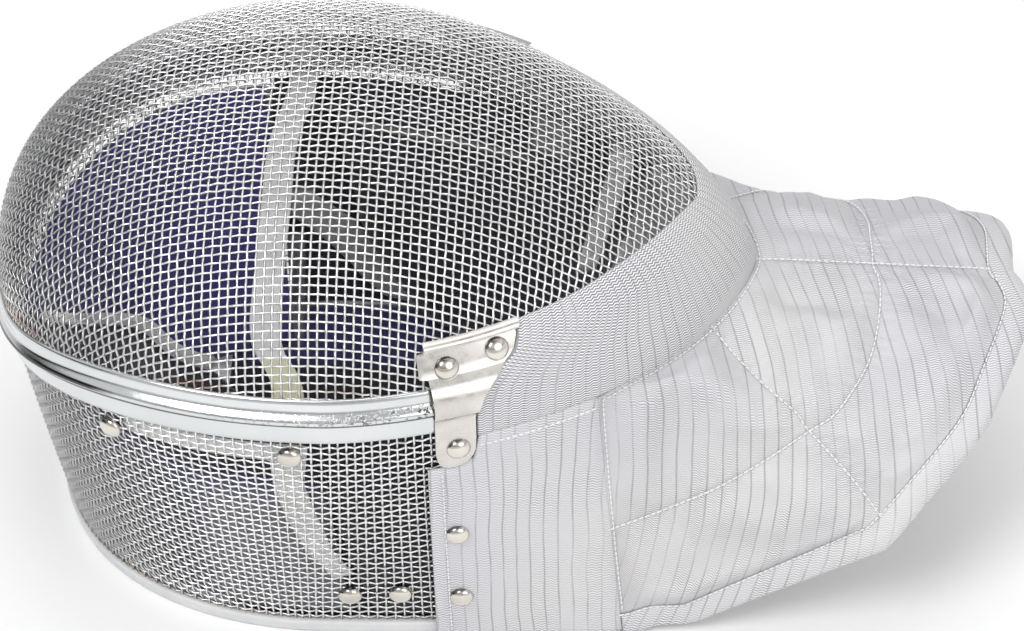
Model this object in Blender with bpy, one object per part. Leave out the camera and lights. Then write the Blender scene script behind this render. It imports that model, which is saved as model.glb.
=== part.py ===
"""Sabre fencing mask with its quilted bib, lying face up on its rear rim.

Metres. +Z is up out of the face, +X runs from the crown of the head to the bib, Y runs across the
face with the wearer's right side at -Y. The floor is z = 0 and the origin is under the middle.

Every hard wall lies on one closed shell. A place on it is an angle round the head (degrees, 0 at
the crown, 90 at the temples, 180 at the chin, negative on the near side) and a height above the
floor. A lining or a cover is the same shell moved in or out by a small offset.
"""

import bmesh
import bpy
import numpy as np

MM = 0.001

# Shell, widest at WIDE_Z, higher at the crown, domed above that and drawn in to the rim below it
MIDDLE_X = -63.2 * MM
CROWN_REACH = 123.4 * MM
CHIN_REACH = 149.6 * MM
HALF_WIDTH = 103.0 * MM
WIDE_Z = 108.2 * MM
CROWN_WIDE_LIFT = 9.0 * MM
TOP_Z = 183.7 * MM
CROWN_PLAN_POWER = 2.25
CHIN_PLAN_POWER = 1.68
CROWN_ARC_POWER = 2.05
SIDE_ARC_POWER = 2.51
CHIN_ARC_POWER = 1.66
RIM_MIDDLE_X = -67.5 * MM
RIM_CROWN_REACH = 102.5 * MM
RIM_JAW_REACH = 174.0 * MM
RIM_HALF_WIDTH = 87.4 * MM
RIM_JAW_PINCH = 4.0 * MM
RIM_POWER = 2.09
UNDERCUT_POWER = 1.2

# Where the pieces meet
GAP = 0.3 * MM
LAP = 0.5 * MM
WALL = 1.6 * MM
STATION = 7.5
JAW_CORNER = 132.0
BAND_LOW_Z = 112.5 * MM
BAND_HEIGHT = 20.0 * MM
BAND_DIP = 22.0 * MM
BAND_DIP_POWER = 4.0
BAND_END = 114.0
SEAM_Z = 108.0 * MM
SEAM_CHIN_DROP = 5.0 * MM
STRIP_TOP_Z = 146.5 * MM
STRIP_CHIN_DROP = 8.0 * MM
RIM_HEIGHT = 6.0 * MM
RIM_PROUD = 1.2 * MM
RIM_SIDE_DEGREES = 3.0
COVER_OFFSET = 1.6 * MM
STRIP_OFFSET = 0.8 * MM
TAPE = 0.7 * MM
CLOTH = 2.0 * MM

# Bib: a boxy arch that leaves the jaw and ends in a hem, low at the sides
BIB_THICKNESS = 5.0 * MM
BIB_HALF_WIDTH = 88.0 * MM
BIB_HEIGHT = 103.7 * MM
BIB_ARCH_POWER = 2.15
BIB_CORNER_U = 0.55
BIB_CLEARANCE_DEGREES = 0.6
BIB_SEAM_FOOT_Z = 9.8 * MM
BIB_FLOOR_SHARE = 0.26
BIB_NEAR_WAIST = 5.5 * MM
BIB_FAR_WAIST = 6.2 * MM
BIB_LEAN = 4.0 * MM
PUFF = 5.5 * MM
PUFF_WIDTH = 13.0 * MM
HEM_WIDTH = 9.0 * MM
HEM_PROUD = 0.8 * MM
HEM_GAP = 0.8 * MM

RIVET_RADIUS = 4.3 * MM
RIVET_RISE = 2.3 * MM
RIVET_SIDES = 10

# Brow band section, from its lower edge up: height and how far it stands off the mesh
BAND_SECTION = np.array([
    # height, proud (mm)
    [0.0, 1.5],
    [8.0, 1.5],
    [9.6, 3.4],
    [11.8, 4.3],
    [14.0, 3.4],
    [15.6, 1.5],
    [20.0, 1.5],
]) * MM

# Temple bracket, from its lower edge up
BRACKET_ROWS = [
    # z mm, rear edge deg, front edge deg, stand-off mm, thickness mm
    (95.6, 109.0, 112.0, 2.1, 1.0),
    (98.5, 108.2, 113.3, 2.1, 1.0),
    (103.0, 107.9, 114.1, 2.1, 1.0),
    (112.0, 107.9, 114.3, 2.1, 1.0),
    (119.4, 107.9, 114.4, 2.1, 1.0),
    (122.2, 107.8, 114.6, 4.9, 1.0),
    (127.0, 107.8, 115.5, 5.3, 1.0),
    (132.0, 107.7, 117.2, 4.5, 1.0),
    (135.4, 107.6, 118.7, 1.0, 1.0),
    (135.8, 106.3, 118.9, 0.9, 1.0),
    (143.6, 106.3, 121.9, 0.7, 1.0),
    (143.9, 107.5, 122.0, 0.7, 1.0),
    (145.2, 107.5, 122.3, 0.7, 1.0),
    (145.6, 107.5, 122.4, 0.7, 2.8),
    (147.6, 107.5, 123.2, 0.7, 2.8),
]

BRACKET_CLEARANCE_DEGREES = 0.6

# Upper edge of the cloth behind the bracket
COVER_TOP = np.array([
    # angle deg, z mm
    [107.7, 94.9],
    [112.0, 95.1],
    [114.3, 98.5],
    [114.9, 107.7],
    [132.0, 107.7],
])

# Free edge of the bib: angle in its arch (0 on top, negative near) and how far forward it reaches
HEM_ROWS = np.array([
    # arch deg, x mm
    [-62.0, 140.0],
    [-57.0, 147.0],
    [-52.0, 153.5],
    [-44.0, 164.0],
    [-36.0, 173.2],
    [-26.0, 180.0],
    [-15.0, 186.8],
    [-9.0, 188.9],
    [-4.0, 187.0],
    [0.0, 183.8],
    [15.0, 184.5],
    [26.0, 181.0],
    [36.0, 174.0],
    [44.0, 166.0],
    [52.0, 156.0],
    [57.0, 148.0],
    [62.0, 140.0],
])

# Quilting seams of one half of the bib: across (0 middle, 1 lower edge) and forward (0 jaw, 1 hem)
MIDDLE_SEAM = [(0.0, 0.0), (0.0, 1.0)]
LONG_SEAM = [
    (0.0, 0.50), (0.16, 0.525), (0.38, 0.622), (0.50, 0.652), (0.583, 0.64),
    (0.63, 0.585), (0.70, 0.483), (0.758, 0.35), (0.79, 0.20), (0.82, 0.0),
]
CROSS_SEAM = [(0.29, 0.0), (0.46, 0.33), (0.57, 0.52), (0.63, 0.585), (0.80, 0.80), (0.955, 1.0)]

# Rivets of one side: name, angle, height mm, what they stand on
RIVETS = [
    ("rivet_bracket_rear", 110.3, 140.3, "bracket_top"),
    ("rivet_bracket_front", 118.5, 140.6, "bracket_flat"),
    ("rivet_bracket_low", 111.1, 104.8, "bracket_low"),
    ("rivet_crown_upper_rear", 56.0, 102.5, "mesh"),
    ("rivet_crown_upper_front", 86.9, 106.6, "mesh"),
    ("rivet_crown_lower_rear", 94.5, 25.4, "mesh"),
    ("rivet_crown_lower_front", 102.6, 23.8, "mesh"),
    ("rivet_cover_upper", 110.6, 56.3, "cover"),
    ("rivet_cover_lower", 111.2, 20.0, "cover"),
]

# Tape behind the mesh: rear or upper edge, then front or lower edge
TAPE_ROWS = {
    # angle, z mm, angle, z mm
    "near": [
        (57.0, 108.0, 57.0, 99.5),
        (72.0, 108.0, 72.0, 99.5),
        (89.6, 108.0, 84.2, 99.5),
        (91.0, 82.0, 86.3, 80.0),
        (93.0, 58.0, 88.3, 57.0),
        (96.5, 32.0, 92.0, 31.0),
        (98.0, 18.0, 93.6, 18.0),
    ],
    "far": [
        (57.0, 108.0, 57.0, 99.5),
        (75.3, 108.0, 75.3, 99.5),
        (77.2, 108.0, 77.2, 99.5),
        (84.6, 108.0, 79.2, 99.5),
        (86.6, 74.0, 81.4, 72.0),
        (90.5, 46.0, 85.6, 43.0),
        (96.0, 28.0, 90.0, 24.0),
        (101.0, 13.0, 96.0, 11.0),
    ],
}

# Cheek pads: height, rear edges, thickness, and how far the near one leans in
CHEEK_ROWS = [
    # z mm, near rear edge deg, far rear edge deg, far front edge deg, near and far thickness mm, lean mm
    (7.5, 99.6, 103.5, 130.5, 9.0, 18.0, 0.0),
    (14.0, 98.9, 102.5, 131.0, 16.0, 22.0, 0.0),
    (30.0, 97.2, 97.5, 132.5, 18.0, 21.0, 0.0),
    (48.0, 95.0, 92.4, 135.0, 16.0, 18.0, 1.0),
    (74.0, 92.2, 88.6, 139.5, 13.0, 16.0, 7.0),
    (90.0, 91.2, 87.4, 143.0, 10.0, 13.0, 17.0),
    (99.0, 91.0, 87.2, 145.0, 8.0, 8.0, 24.0),
]
CHEEK_FRONT = 130.5
PAD_LAP = 0.5 * MM
FAR_PAD_LAP = 1.8 * MM
FAR_LINING_REAR = 77.0
LINING = 1.6 * MM

# Crown pad: a cup hung behind the band, drawn in on the near side
CROWN_PAD_NEAR_END = 90.0
CROWN_PAD_NEAR_FOOT_END = 95.5
CROWN_PAD_NEAR_TOP_END = 87.5
CROWN_PAD_FAR_END = 75.0
CROWN_PAD_THICKNESS = 5.0 * MM
CROWN_PAD_FOOT_Z = 7.5 * MM
CROWN_PAD_TOP_Z = 108.5 * MM
CROWN_PAD_NEAR_TOP_Z = 114.0 * MM
CROWN_PAD_DRAW = 32.0 * MM
CROWN_PAD_STRAP_DROP = 9.0 * MM
CROWN_PAD_NEAR_SLACK = 1.0 * MM
CROWN_PAD_FAR_SLACK = 22.0 * MM
BINDING_END = 67.5
BINDING_RADIUS = 2.6 * MM

STRAP_X = -87.0 * MM
STRAP_WIDTH = 11.0 * MM
STRAP_THICKNESS = 1.6 * MM
STRAP_Z = 114.5 * MM
STRAP_SAG = 2.0 * MM
BACK_STRAP_ROWS = np.array([
    # x, half length (mm)
    [-97.0, 81.6],
    [-80.0, 84.3],
    [-53.0, 84.8],
    [-26.0, 83.8],
]) * MM
BACK_STRAP_Z = 4.0 * MM
BACK_STRAP_LIFT = 2.0 * MM


def signed_power(value, power):
    return np.sign(value) * np.abs(value) ** power


def smooth(value, low, high):
    """0 below low, 1 above high, eased between them."""
    t = np.clip((value - low) / (high - low), 0.0, 1.0)
    return t * t * (3.0 - 2.0 * t)


def wide_z(angle):
    """Height at which the shell is widest."""
    return WIDE_Z + CROWN_WIDE_LIFT * np.clip(np.cos(np.radians(angle)), 0.0, 1.0) ** 3


def arc_power(angle):
    """How square the dome's arc is: 2 is an ellipse."""
    c = -np.cos(np.radians(angle))
    return SIDE_ARC_POWER + (np.where(c < 0.0, CROWN_ARC_POWER, CHIN_ARC_POWER) - SIDE_ARC_POWER) * c * c


def true_shell(angle, z, offset):
    """The smooth shell at angles round the head and heights, moved out by offset."""
    c = -np.cos(np.radians(angle))
    s = np.sin(np.radians(angle))
    crown = c < 0.0
    power = np.where(crown, 2.0 / CROWN_PLAN_POWER, 2.0 / CHIN_PLAN_POWER)
    reach = np.where(crown, CROWN_REACH, CHIN_REACH) + offset
    arc = arc_power(angle)
    wide = wide_z(angle)
    rise = np.clip((z - wide) / (TOP_Z + offset - wide), 0.0, 1.0)
    share = (1.0 - rise**arc) ** (1.0 / arc)
    x = MIDDLE_X + reach * signed_power(c, power) * share
    y = (HALF_WIDTH + offset) * signed_power(s, power) * share
    rim_power = np.where(crown, 2.0 / RIM_POWER, power)
    rim_reach = np.where(crown, RIM_CROWN_REACH, RIM_JAW_REACH) + offset
    rim_x = RIM_MIDDLE_X + rim_reach * signed_power(c, rim_power)
    pinch = RIM_JAW_PINCH * (c / np.cos(np.radians(JAW_CORNER))) ** 2
    rim_y = np.where(crown, (RIM_HALF_WIDTH + offset) * signed_power(s, 2.0 / RIM_POWER),
                     np.sign(s) * (RIM_HALF_WIDTH + offset - pinch))
    low = np.clip((wide - z) / wide, 0.0, 1.0) ** UNDERCUT_POWER
    return np.stack([x * (1.0 - low) + rim_x * low, y * (1.0 - low) + rim_y * low, z + 0.0 * x], -1)


def shell(angle, z, offset=0.0):
    """The shell with flat faces between its stations, so that walls and covers stay parallel."""
    angle, z, offset = np.broadcast_arrays(
        np.asarray(angle, float), np.asarray(z, float), np.asarray(offset, float))
    step = np.floor(angle / STATION)
    part = (angle / STATION - step)[..., None]
    here = true_shell(step * STATION, z, offset)
    after = true_shell((step + 1.0) * STATION, z, offset)
    return here * (1.0 - part) + after * part


def stations(start, end):
    """start, end and every station between them."""
    inner = np.arange(np.ceil(start / STATION + 1e-6), np.floor(end / STATION - 1e-6) + 1) * STATION
    return np.concatenate([[start], inner, [end]])


def band_low_z(angle):
    """Lower edge of the brow band: level at the temples, dipping at the crown."""
    return BAND_LOW_Z - BAND_DIP * np.clip(np.cos(np.radians(angle)), 0.0, 1.0) ** BAND_DIP_POWER


def seam_z(angle):
    """Height of the jaw seam."""
    past = np.clip((np.abs(angle) - JAW_CORNER) / (180.0 - JAW_CORNER), 0.0, 1.0)
    return SEAM_Z - SEAM_CHIN_DROP * past**2


def strip_top_z(angle):
    """Height of the strip's upper edge along the jaw, which drops earlier on the far side."""
    near = np.clip((-angle - 140.0) / 40.0, 0.0, 1.0) ** 1.7
    far = smooth(angle, 114.0, 150.0) + 0.35 * smooth(angle, 135.0, 160.0) * (1.0 - smooth(angle, 160.0, 180.0))
    return STRIP_TOP_Z - STRIP_CHIN_DROP * np.where(angle < 0.0, near, far)


def parting_z(angle):
    """Height at which the crown mesh ends and the face mesh starts."""
    behind = band_low_z(angle) + 0.5 * BAND_HEIGHT
    return behind + (seam_z(angle) - behind) * smooth(np.abs(angle), BAND_END, JAW_CORNER)


def material(name, colour, roughness, metallic=0.0):
    made = bpy.data.materials.new(name)
    made.use_nodes = True
    shader = made.node_tree.nodes["Principled BSDF"]
    shader.inputs["Base Color"].default_value = (*colour, 1.0)
    shader.inputs["Roughness"].default_value = roughness
    shader.inputs["Metallic"].default_value = metallic
    return made


def add_object(name, vertices, faces, finish, sharp_degrees=40.0):
    """A closed object from points and faces, its doubles merged and its faces turned outward."""
    mesh = bpy.data.meshes.new(name)
    mesh.from_pydata([tuple(p) for p in vertices], [], faces)
    bm = bmesh.new()
    bm.from_mesh(mesh)
    bmesh.ops.remove_doubles(bm, verts=bm.verts, dist=0.00001)
    bmesh.ops.recalc_face_normals(bm, faces=bm.faces)
    bm.to_mesh(mesh)
    bm.free()
    mesh.shade_smooth()
    mesh.set_sharp_from_angle(angle=np.radians(sharp_degrees))
    mesh.materials.append(finish)
    made = bpy.data.objects.new(name, mesh)
    bpy.context.scene.collection.objects.link(made)
    return made


def slab(name, outer, inner, finish, closed=False, domed=False):
    """A wall between two grids of points (rows, columns, xyz).

    closed joins the last column to the first. domed says that the last row is one point.
    """
    rows, columns = outer.shape[:2]
    count = rows * columns
    points = np.concatenate([outer.reshape(-1, 3), inner.reshape(-1, 3)])
    last = columns if closed else columns - 1
    faces = []
    for j in range(last):
        k = (j + 1) % columns
        for i in range(rows - 1):
            quad = (i * columns + j, i * columns + k, (i + 1) * columns + k, (i + 1) * columns + j)
            faces.append(quad)
            faces.append(tuple(count + v for v in reversed(quad)))
        top = (rows - 1) * columns
        faces.append((j, count + j, count + k, k))
        if not domed:
            faces.append((top + j, top + k, count + top + k, count + top + j))
    if not closed:
        for i in range(rows - 1):
            a, b = i * columns, (i + 1) * columns
            faces.append((a, b, count + b, count + a))
            a, b = a + columns - 1, b + columns - 1
            faces.append((a, count + a, count + b, b))
    return add_object(name, points, faces, finish)


def tube(name, rings, finish):
    """A closed tube through rings of points (stations, points, xyz), capped at both ends."""
    stations_count, sides = rings.shape[:2]
    faces = []
    for i in range(stations_count - 1):
        for j in range(sides):
            k = (j + 1) % sides
            faces.append((i * sides + j, i * sides + k, (i + 1) * sides + k, (i + 1) * sides + j))
    faces.append(tuple(reversed(range(sides))))
    faces.append(tuple((stations_count - 1) * sides + j for j in range(sides)))
    return add_object(name, rings.reshape(-1, 3), faces, finish)


def unit(vectors):
    return vectors / np.linalg.norm(vectors, axis=-1, keepdims=True)


def shell_frame(angle, z, offset):
    """A point on the shell with its outward normal and the level direction along it."""
    step = 0.4
    lift = 0.5 * MM
    here = shell(angle, z, offset)
    level = unit(shell(angle + step, z, offset) - shell(angle - step, z, offset))
    upward = unit(shell(angle, z + lift, offset) - shell(angle, z - lift, offset))
    return here, unit(np.cross(level, upward)), level


def face_mesh(finish):
    """Domed wall over the face, from the middle of the band and from the jaw seam up."""
    angle = np.arange(-180.0, 180.0, STATION)
    foot = parting_z(angle) + GAP
    brow = band_low_z(angle) + BAND_HEIGHT + 10.0 * MM
    edge = np.where(np.abs(angle) > BAND_END, strip_top_z(angle), brow)
    rows = [foot, foot + (edge - foot) / 3.0, foot + (edge - foot) * 2.0 / 3.0, edge]
    arcs = 6
    wide = wide_z(angle)
    rise = TOP_Z - wide
    power = arc_power(angle)
    start = np.arcsin(np.clip((edge - wide) / rise, 0.0, 1.0) ** (power / 2.0))
    for i in range(1, arcs + 1):
        turn = start + (0.5 * np.pi - start) * i / arcs
        rows.append(wide + rise * np.sin(turn) ** (2.0 / power))
    z = np.array(rows)
    outer = shell(angle[None, :], z, 0.0)
    share = np.clip((z - wide) / rise, 0.0, 1.0)
    inner = shell(angle[None, :], z - WALL * share, -WALL)
    return slab("face_mesh", outer, inner, finish, closed=True, domed=True)


def crown_mesh(finish):
    """Wall behind the band and the cheeks, from the rear rim up."""
    angle = stations(-JAW_CORNER + 0.2, JAW_CORNER - 0.2)
    top = parting_z(angle) - GAP
    low = RIM_HEIGHT + GAP
    shelf = np.minimum(band_low_z(angle), top - 2.0 * MM)
    rows = [low + (shelf - low) * part for part in (0.0, 0.25, 0.5, 0.75, 1.0)] + [top]
    z = np.array(rows)
    return slab("crown_mesh", shell(angle, z, 0.0), shell(angle, z, -WALL), finish)


def brow_band(finish):
    """Pressed steel band over the join: flange, rounded bead and flange."""
    angle = stations(-BAND_END, BAND_END)
    z = band_low_z(angle)[None, :] + BAND_SECTION[:, :1]
    outer = shell(angle[None, :], z, BAND_SECTION[:, 1:])
    return slab("brow_band", outer, shell(angle[None, :], z, GAP), finish)


def rear_rim(finish):
    """Folded strip round the rear opening: along the floor, up behind the cheeks, along the jaw."""
    side = []
    for angle in stations(0.0, JAW_CORNER)[:-1]:
        side.append((angle, RIM_HEIGHT, angle, 0.0))
    front = JAW_CORNER + RIM_SIDE_DEGREES
    side.append((JAW_CORNER, RIM_HEIGHT, front, 0.0))
    for z in (25.0 * MM, 45.0 * MM, 65.0 * MM, 85.0 * MM):
        side.append((JAW_CORNER, z, front, z))
    side.append((JAW_CORNER, seam_z(JAW_CORNER) - GAP, front, seam_z(front) - GAP - RIM_HEIGHT))
    for angle in stations(front, 180.0)[1:]:
        side.append((angle, seam_z(angle) - GAP, angle, seam_z(angle) - GAP - RIM_HEIGHT))
    far = np.array(side)
    near = far[-2:0:-1] * np.array([-1.0, 1.0, -1.0, 1.0])
    loop = np.concatenate([far, near])
    angle = loop[:, [0, 2]].T
    z = loop[:, [1, 3]].T
    return slab("rear_rim", shell(angle, z, RIM_PROUD), shell(angle, z, -WALL - RIM_PROUD), finish, closed=True)


def bracket(name, side, finish):
    """Temple plate, humped over the end of the band, with a folded upper lip."""
    rows = np.array(BRACKET_ROWS)
    z = rows[:, :1] * MM
    part = np.linspace(0.0, 1.0, 5)[None, :]
    angle = rows[:, 1:2] + (rows[:, 2:3] - rows[:, 1:2]) * part
    stand = rows[:, 3:4] * MM
    outer = shell(side * angle, z, stand + rows[:, 4:5] * MM)
    return slab(name, outer, shell(side * angle, z, stand), finish)


def bracket_front(z):
    """Angle of the bracket's front edge at a height."""
    rows = np.array(BRACKET_ROWS)
    return np.interp(z, rows[:, 0] * MM, rows[:, 2])


def jaw_strip(finish):
    """Cloth binding over the lower edge of the face mesh, from one bracket round to the other."""
    share = np.linspace(0.0, 1.0, 6)[:, None]
    start = bracket_front(SEAM_Z + share * (STRIP_TOP_Z - SEAM_Z)) + BRACKET_CLEARANCE_DEGREES
    part = np.linspace(-1.0, 1.0, 39)[None, :]
    side = np.where(part < 0.0, -1.0, 1.0)
    angle = side * (180.0 + (start - 180.0) * np.abs(part))
    z = seam_z(angle) + share * (strip_top_z(angle) - seam_z(angle)) + GAP * (1.0 - share)
    return slab("jaw_strip", shell(angle, z, STRIP_OFFSET + CLOTH), shell(angle, z, STRIP_OFFSET), finish)


def side_cover(name, side, finish):
    """Cloth over the rigid wall between the bracket and the bib's seam."""
    angle = np.array(sorted({*stations(COVER_TOP[0, 0], JAW_CORNER), *COVER_TOP[1:, 0]}))
    top = np.interp(angle, COVER_TOP[:, 0], COVER_TOP[:, 1]) * MM
    z = top[None, :] * np.linspace(0.0, 1.0, 7)[:, None]
    outer = shell(side * angle, z, COVER_OFFSET + CLOTH)
    return slab(name, outer, shell(side * angle, z, COVER_OFFSET), finish)


def seam_line(side_share, offset):
    """The bib's seam on the shell: 0 at the chin, along the jaw to its corner, then down to 1."""
    reach = np.abs(side_share)
    jaw = np.clip(reach / BIB_CORNER_U, 0.0, 1.0)
    down = np.clip((reach - BIB_CORNER_U) / (1.0 - BIB_CORNER_U), 0.0, 1.0)
    angle = 180.0 - (180.0 - JAW_CORNER - BIB_CLEARANCE_DEGREES) * jaw
    z = seam_z(angle) - GAP - (seam_z(angle) - BIB_SEAM_FOOT_Z) * down
    side = np.where(side_share < 0.0, -1.0, 1.0)
    return shell(angle * side, z, offset)


def hem_line(side_share):
    """Outer surface of the bib where its hem starts."""
    side = np.where(side_share < 0.0, -1.0, 1.0)
    arch = side_share * HEM_ROWS[-1, 0]
    x = np.interp(arch, HEM_ROWS[:, 0], HEM_ROWS[:, 1]) * MM - HEM_WIDTH
    turn = np.radians(np.abs(arch))
    y = BIB_HALF_WIDTH * np.sin(turn) ** (2.0 / BIB_ARCH_POWER) * side
    z = BIB_HEIGHT * np.cos(turn) ** (2.0 / BIB_ARCH_POWER)
    return np.stack([x, y, z], -1)


def bib_sheet(side_share, forward):
    """Outer surface of the bib before quilting."""
    start = seam_line(side_share, COVER_OFFSET + CLOTH)
    end = hem_line(side_share)
    mixed = start + (end - start) * forward[..., None]
    reach = np.abs(side_share)
    lift = (end - start)[..., 2] * forward
    rest = (end - start)[..., 2] * np.clip((forward - BIB_FLOOR_SHARE) / (1.0 - BIB_FLOOR_SHARE), 0.0, 1.0)
    mixed[..., 2] += (rest - lift) * smooth(reach, 0.75, 1.0)
    waist = np.where(side_share < 0.0, BIB_NEAR_WAIST, BIB_FAR_WAIST) * np.sin(np.pi * forward**0.5)
    waist = waist * smooth(reach, 0.05, 0.4) * (1.0 - smooth(reach, 0.55, 0.9))
    mixed[..., 2] -= waist
    mixed[..., 1] -= waist * np.where(side_share < 0.0, -1.0, 1.0)
    mixed[..., 1] += BIB_LEAN * forward * smooth(side_share, -0.8, -0.1)
    return mixed


def grid_normals(points):
    across = np.gradient(points, axis=1)
    along = np.gradient(points, axis=0)
    return unit(np.cross(along, across))


def seam_points():
    """Points along every quilting seam, on the unquilted sheet."""
    found = []
    for seam in (MIDDLE_SEAM, LONG_SEAM, CROSS_SEAM):
        rows = np.array(seam)
        run = np.linspace(0.0, len(rows) - 1.0, 60)
        across = np.interp(run, np.arange(len(rows)), rows[:, 0])
        forward = np.interp(run, np.arange(len(rows)), rows[:, 1])
        for side in (-1.0, 1.0):
            found.append(bib_sheet(side * across, forward))
    return np.concatenate(found)


def bib_grid():
    """Quilted outer surface of the bib and its normals: rows forward, columns across."""
    share = np.linspace(-1.0, 1.0, 43)
    rows = np.concatenate([[0.0, 0.04], np.linspace(0.12, 1.0, 12)])
    across, forward = np.meshgrid(share, rows)
    sheet = bib_sheet(across, forward)
    normal = grid_normals(sheet)
    seams = seam_points()
    near = np.linalg.norm(sheet[:, :, None, :] - seams[None, None, :, :], axis=-1).min(-1)
    edge = np.clip(np.minimum(forward, 1.0 - forward) / 0.12, 0.0, 1.0)
    edge = edge * np.clip((1.0 - np.abs(across)) / 0.06, 0.0, 1.0)
    puff = PUFF * (1.0 - np.exp(-((near / PUFF_WIDTH) ** 2))) * edge
    return sheet + normal * puff[..., None], normal, forward


def bib_thickness(forward):
    """Thin where the bib is sewn over the rim, padded from there on."""
    return CLOTH + (BIB_THICKNESS - CLOTH) * smooth(forward, 0.1, 0.22)


def bib(finish):
    """Quilted throat guard, a padded wall open below."""
    outer, normal, forward = bib_grid()
    thick = bib_thickness(forward)
    inner = outer - normal * thick[..., None]
    inner[0] = seam_line(np.linspace(-1.0, 1.0, outer.shape[1]), COVER_OFFSET)
    return slab("bib", outer, inner, finish)


def bib_hem(finish):
    """Bound edge round the bib, on the floor at its sides and free in front."""
    outer, normal, forward = bib_grid()
    columns = outer.shape[1]
    last = outer.shape[0] - 1
    walk = [(i, 0) for i in range(last)]
    walk += [(last, 0)] * 4
    walk += [(last, j) for j in range(1, columns - 1)]
    walk += [(last, columns - 1)] * 4
    walk += [(i, columns - 1) for i in range(last - 1, -1, -1)]
    place = np.array([outer[i, j] for i, j in walk])
    up = np.array([normal[i, j] for i, j in walk])
    run = np.zeros_like(place)
    for n, (i, j) in enumerate(walk):
        if j == 0 or j == columns - 1:
            here = outer[min(i + 1, last), j] - outer[max(i - 1, 0), j]
            run[n] = here if j == 0 else -here
        if i == last and 0 < j < columns - 1:
            run[n] = outer[last, j + 1] - outer[last, j - 1]
    run = unit(run)
    for first in (last, last + 4 + columns - 2):
        before = run[first - 1]
        after = run[first + 4]
        for n in range(4):
            part = (n + 0.5) / 4.0
            run[first + n] = unit(before * (1.0 - part) + after * part)
    out = unit(np.cross(run, up))
    thick = np.array([bib_thickness(forward[i, j]) for i, j in walk])[:, None]
    fold = 1.5 * MM
    section = [
        # width, share of the thickness below the outer face, lift off it
        (0.0, 0.0, 0.0),
        (fold, 0.0, HEM_PROUD),
        (HEM_WIDTH - fold, 0.0, HEM_PROUD),
        (HEM_WIDTH, 0.25, 0.0),
        (HEM_WIDTH, 0.75, 0.0),
        (HEM_WIDTH - fold, 1.0, 0.0),
        (fold, 1.0, 0.0),
        (0.0, 1.0, 0.0),
    ]
    rings = np.stack([place + out * (HEM_GAP + w) + up * (d - thick * deep) for w, deep, d in section], 1)
    rings[..., 2] = np.maximum(rings[..., 2], 0.0)
    return tube("bib_hem", rings, finish)


def rivet(name, side, angle, z, seat, finish):
    """Domed rivet head on the surface it holds."""
    stands = {
        "mesh": 0.0,
        "cover": COVER_OFFSET + CLOTH,
        "bracket_top": 2.4 * MM,
        "bracket_low": 3.2 * MM,
        "bracket_flat": 1.7 * MM,
    }
    centre, out, level = shell_frame(side * angle, z, stands[seat])
    out = out if out[1] * side > 0.0 else -out
    across = np.cross(out, level)
    rows = [(1.0, 0.0), (0.92, 0.42), (0.5, 0.92)]
    turn = np.linspace(0.0, 2.0 * np.pi, RIVET_SIDES, endpoint=False)
    ring = np.cos(turn)[:, None] * level + np.sin(turn)[:, None] * across
    base = centre + out * GAP
    points = [base + ring * RIVET_RADIUS * wide + out * RIVET_RISE * high for wide, high in rows]
    return tube(name, np.array(points), finish)


def refine(rows, parts):
    """The rows of a table with parts - 1 more between each two."""
    rows = np.array(rows)
    count = len(rows)
    run = np.linspace(0.0, count - 1.0, (count - 1) * parts + 1)
    return np.stack([np.interp(run, np.arange(count), column) for column in rows.T], 1)


def inside_tape(name, side, key, finish):
    """Narrow tape against the inside of the crown mesh, along the band and down behind the cheek."""
    rows = refine(TAPE_ROWS[key], 4)
    angle = rows[:, [0, 2]].T
    z = rows[:, [1, 3]].T * MM
    over = 0.0
    if key == "far":
        over = (LINING + PAD_LAP + GAP) * smooth(angle, FAR_LINING_REAR - 1.7, FAR_LINING_REAR - 0.3)
    outer = shell(side * angle, z, -WALL - LAP - over)
    return slab(name, outer, shell(side * angle, z, -WALL - LAP - over - TAPE), finish)


def cheek_pad(name, side, key, finish):
    """Thick dark pad inside the side wall; the far one has a thin lining behind its rear edge."""
    rows = np.array(CHEEK_ROWS)
    part = np.linspace(0.0, 1.0, 7)[None, :]
    rear = rows[:, 1:2] if key == "near" else rows[:, 2:3]
    front = CHEEK_FRONT if key == "near" else rows[:, 3:4]
    full = rows[:, 4:5] if key == "near" else rows[:, 5:6]
    angle = rear + (front - rear) * part
    thick = full * MM * (1.0 - 0.55 * np.abs(2.0 * part - 1.0) ** 4)
    if key == "near":
        back = -WALL - PAD_LAP - rows[:, 6:7] * MM * np.ones_like(part)
    else:
        lining = FAR_LINING_REAR + (rear - 0.4 - FAR_LINING_REAR) * np.array([[0.0, 0.5, 1.0]])
        angle = np.hstack([lining, angle])
        thick = np.hstack([np.full_like(lining, LINING), thick])
        back = np.hstack([np.full_like(lining, -WALL - PAD_LAP), np.full((len(rows), 7), -WALL - FAR_PAD_LAP)])
    z = rows[:, :1] * MM + 0.0 * angle
    return slab(name, shell(side * angle, z, back), shell(side * angle, z, back - thick), finish)


def crown_pad_place(angle, share, inward):
    """A point of the crown pad's front face, share 0 at its foot and 1 at its upper edge."""
    draw = smooth(-angle, 0.0, 50.0)
    under = np.minimum(CROWN_PAD_TOP_Z, band_low_z(angle) - 3.0 * MM)
    top = under + (CROWN_PAD_NEAR_TOP_Z - under) * draw - CROWN_PAD_STRAP_DROP * smooth(-angle, 67.5, 75.0)
    z = CROWN_PAD_FOOT_Z + (top - CROWN_PAD_FOOT_Z) * share
    foot = CROWN_PAD_NEAR_SLACK + (CROWN_PAD_FAR_SLACK - CROWN_PAD_NEAR_SLACK) * smooth(angle, 5.0, 60.0)
    slack = foot * (1.0 - share) ** 1.5
    offset = -WALL - LAP - TAPE - GAP - CROWN_PAD_DRAW * draw * share**1.3 - slack - inward
    return shell(angle, z, offset)


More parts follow.
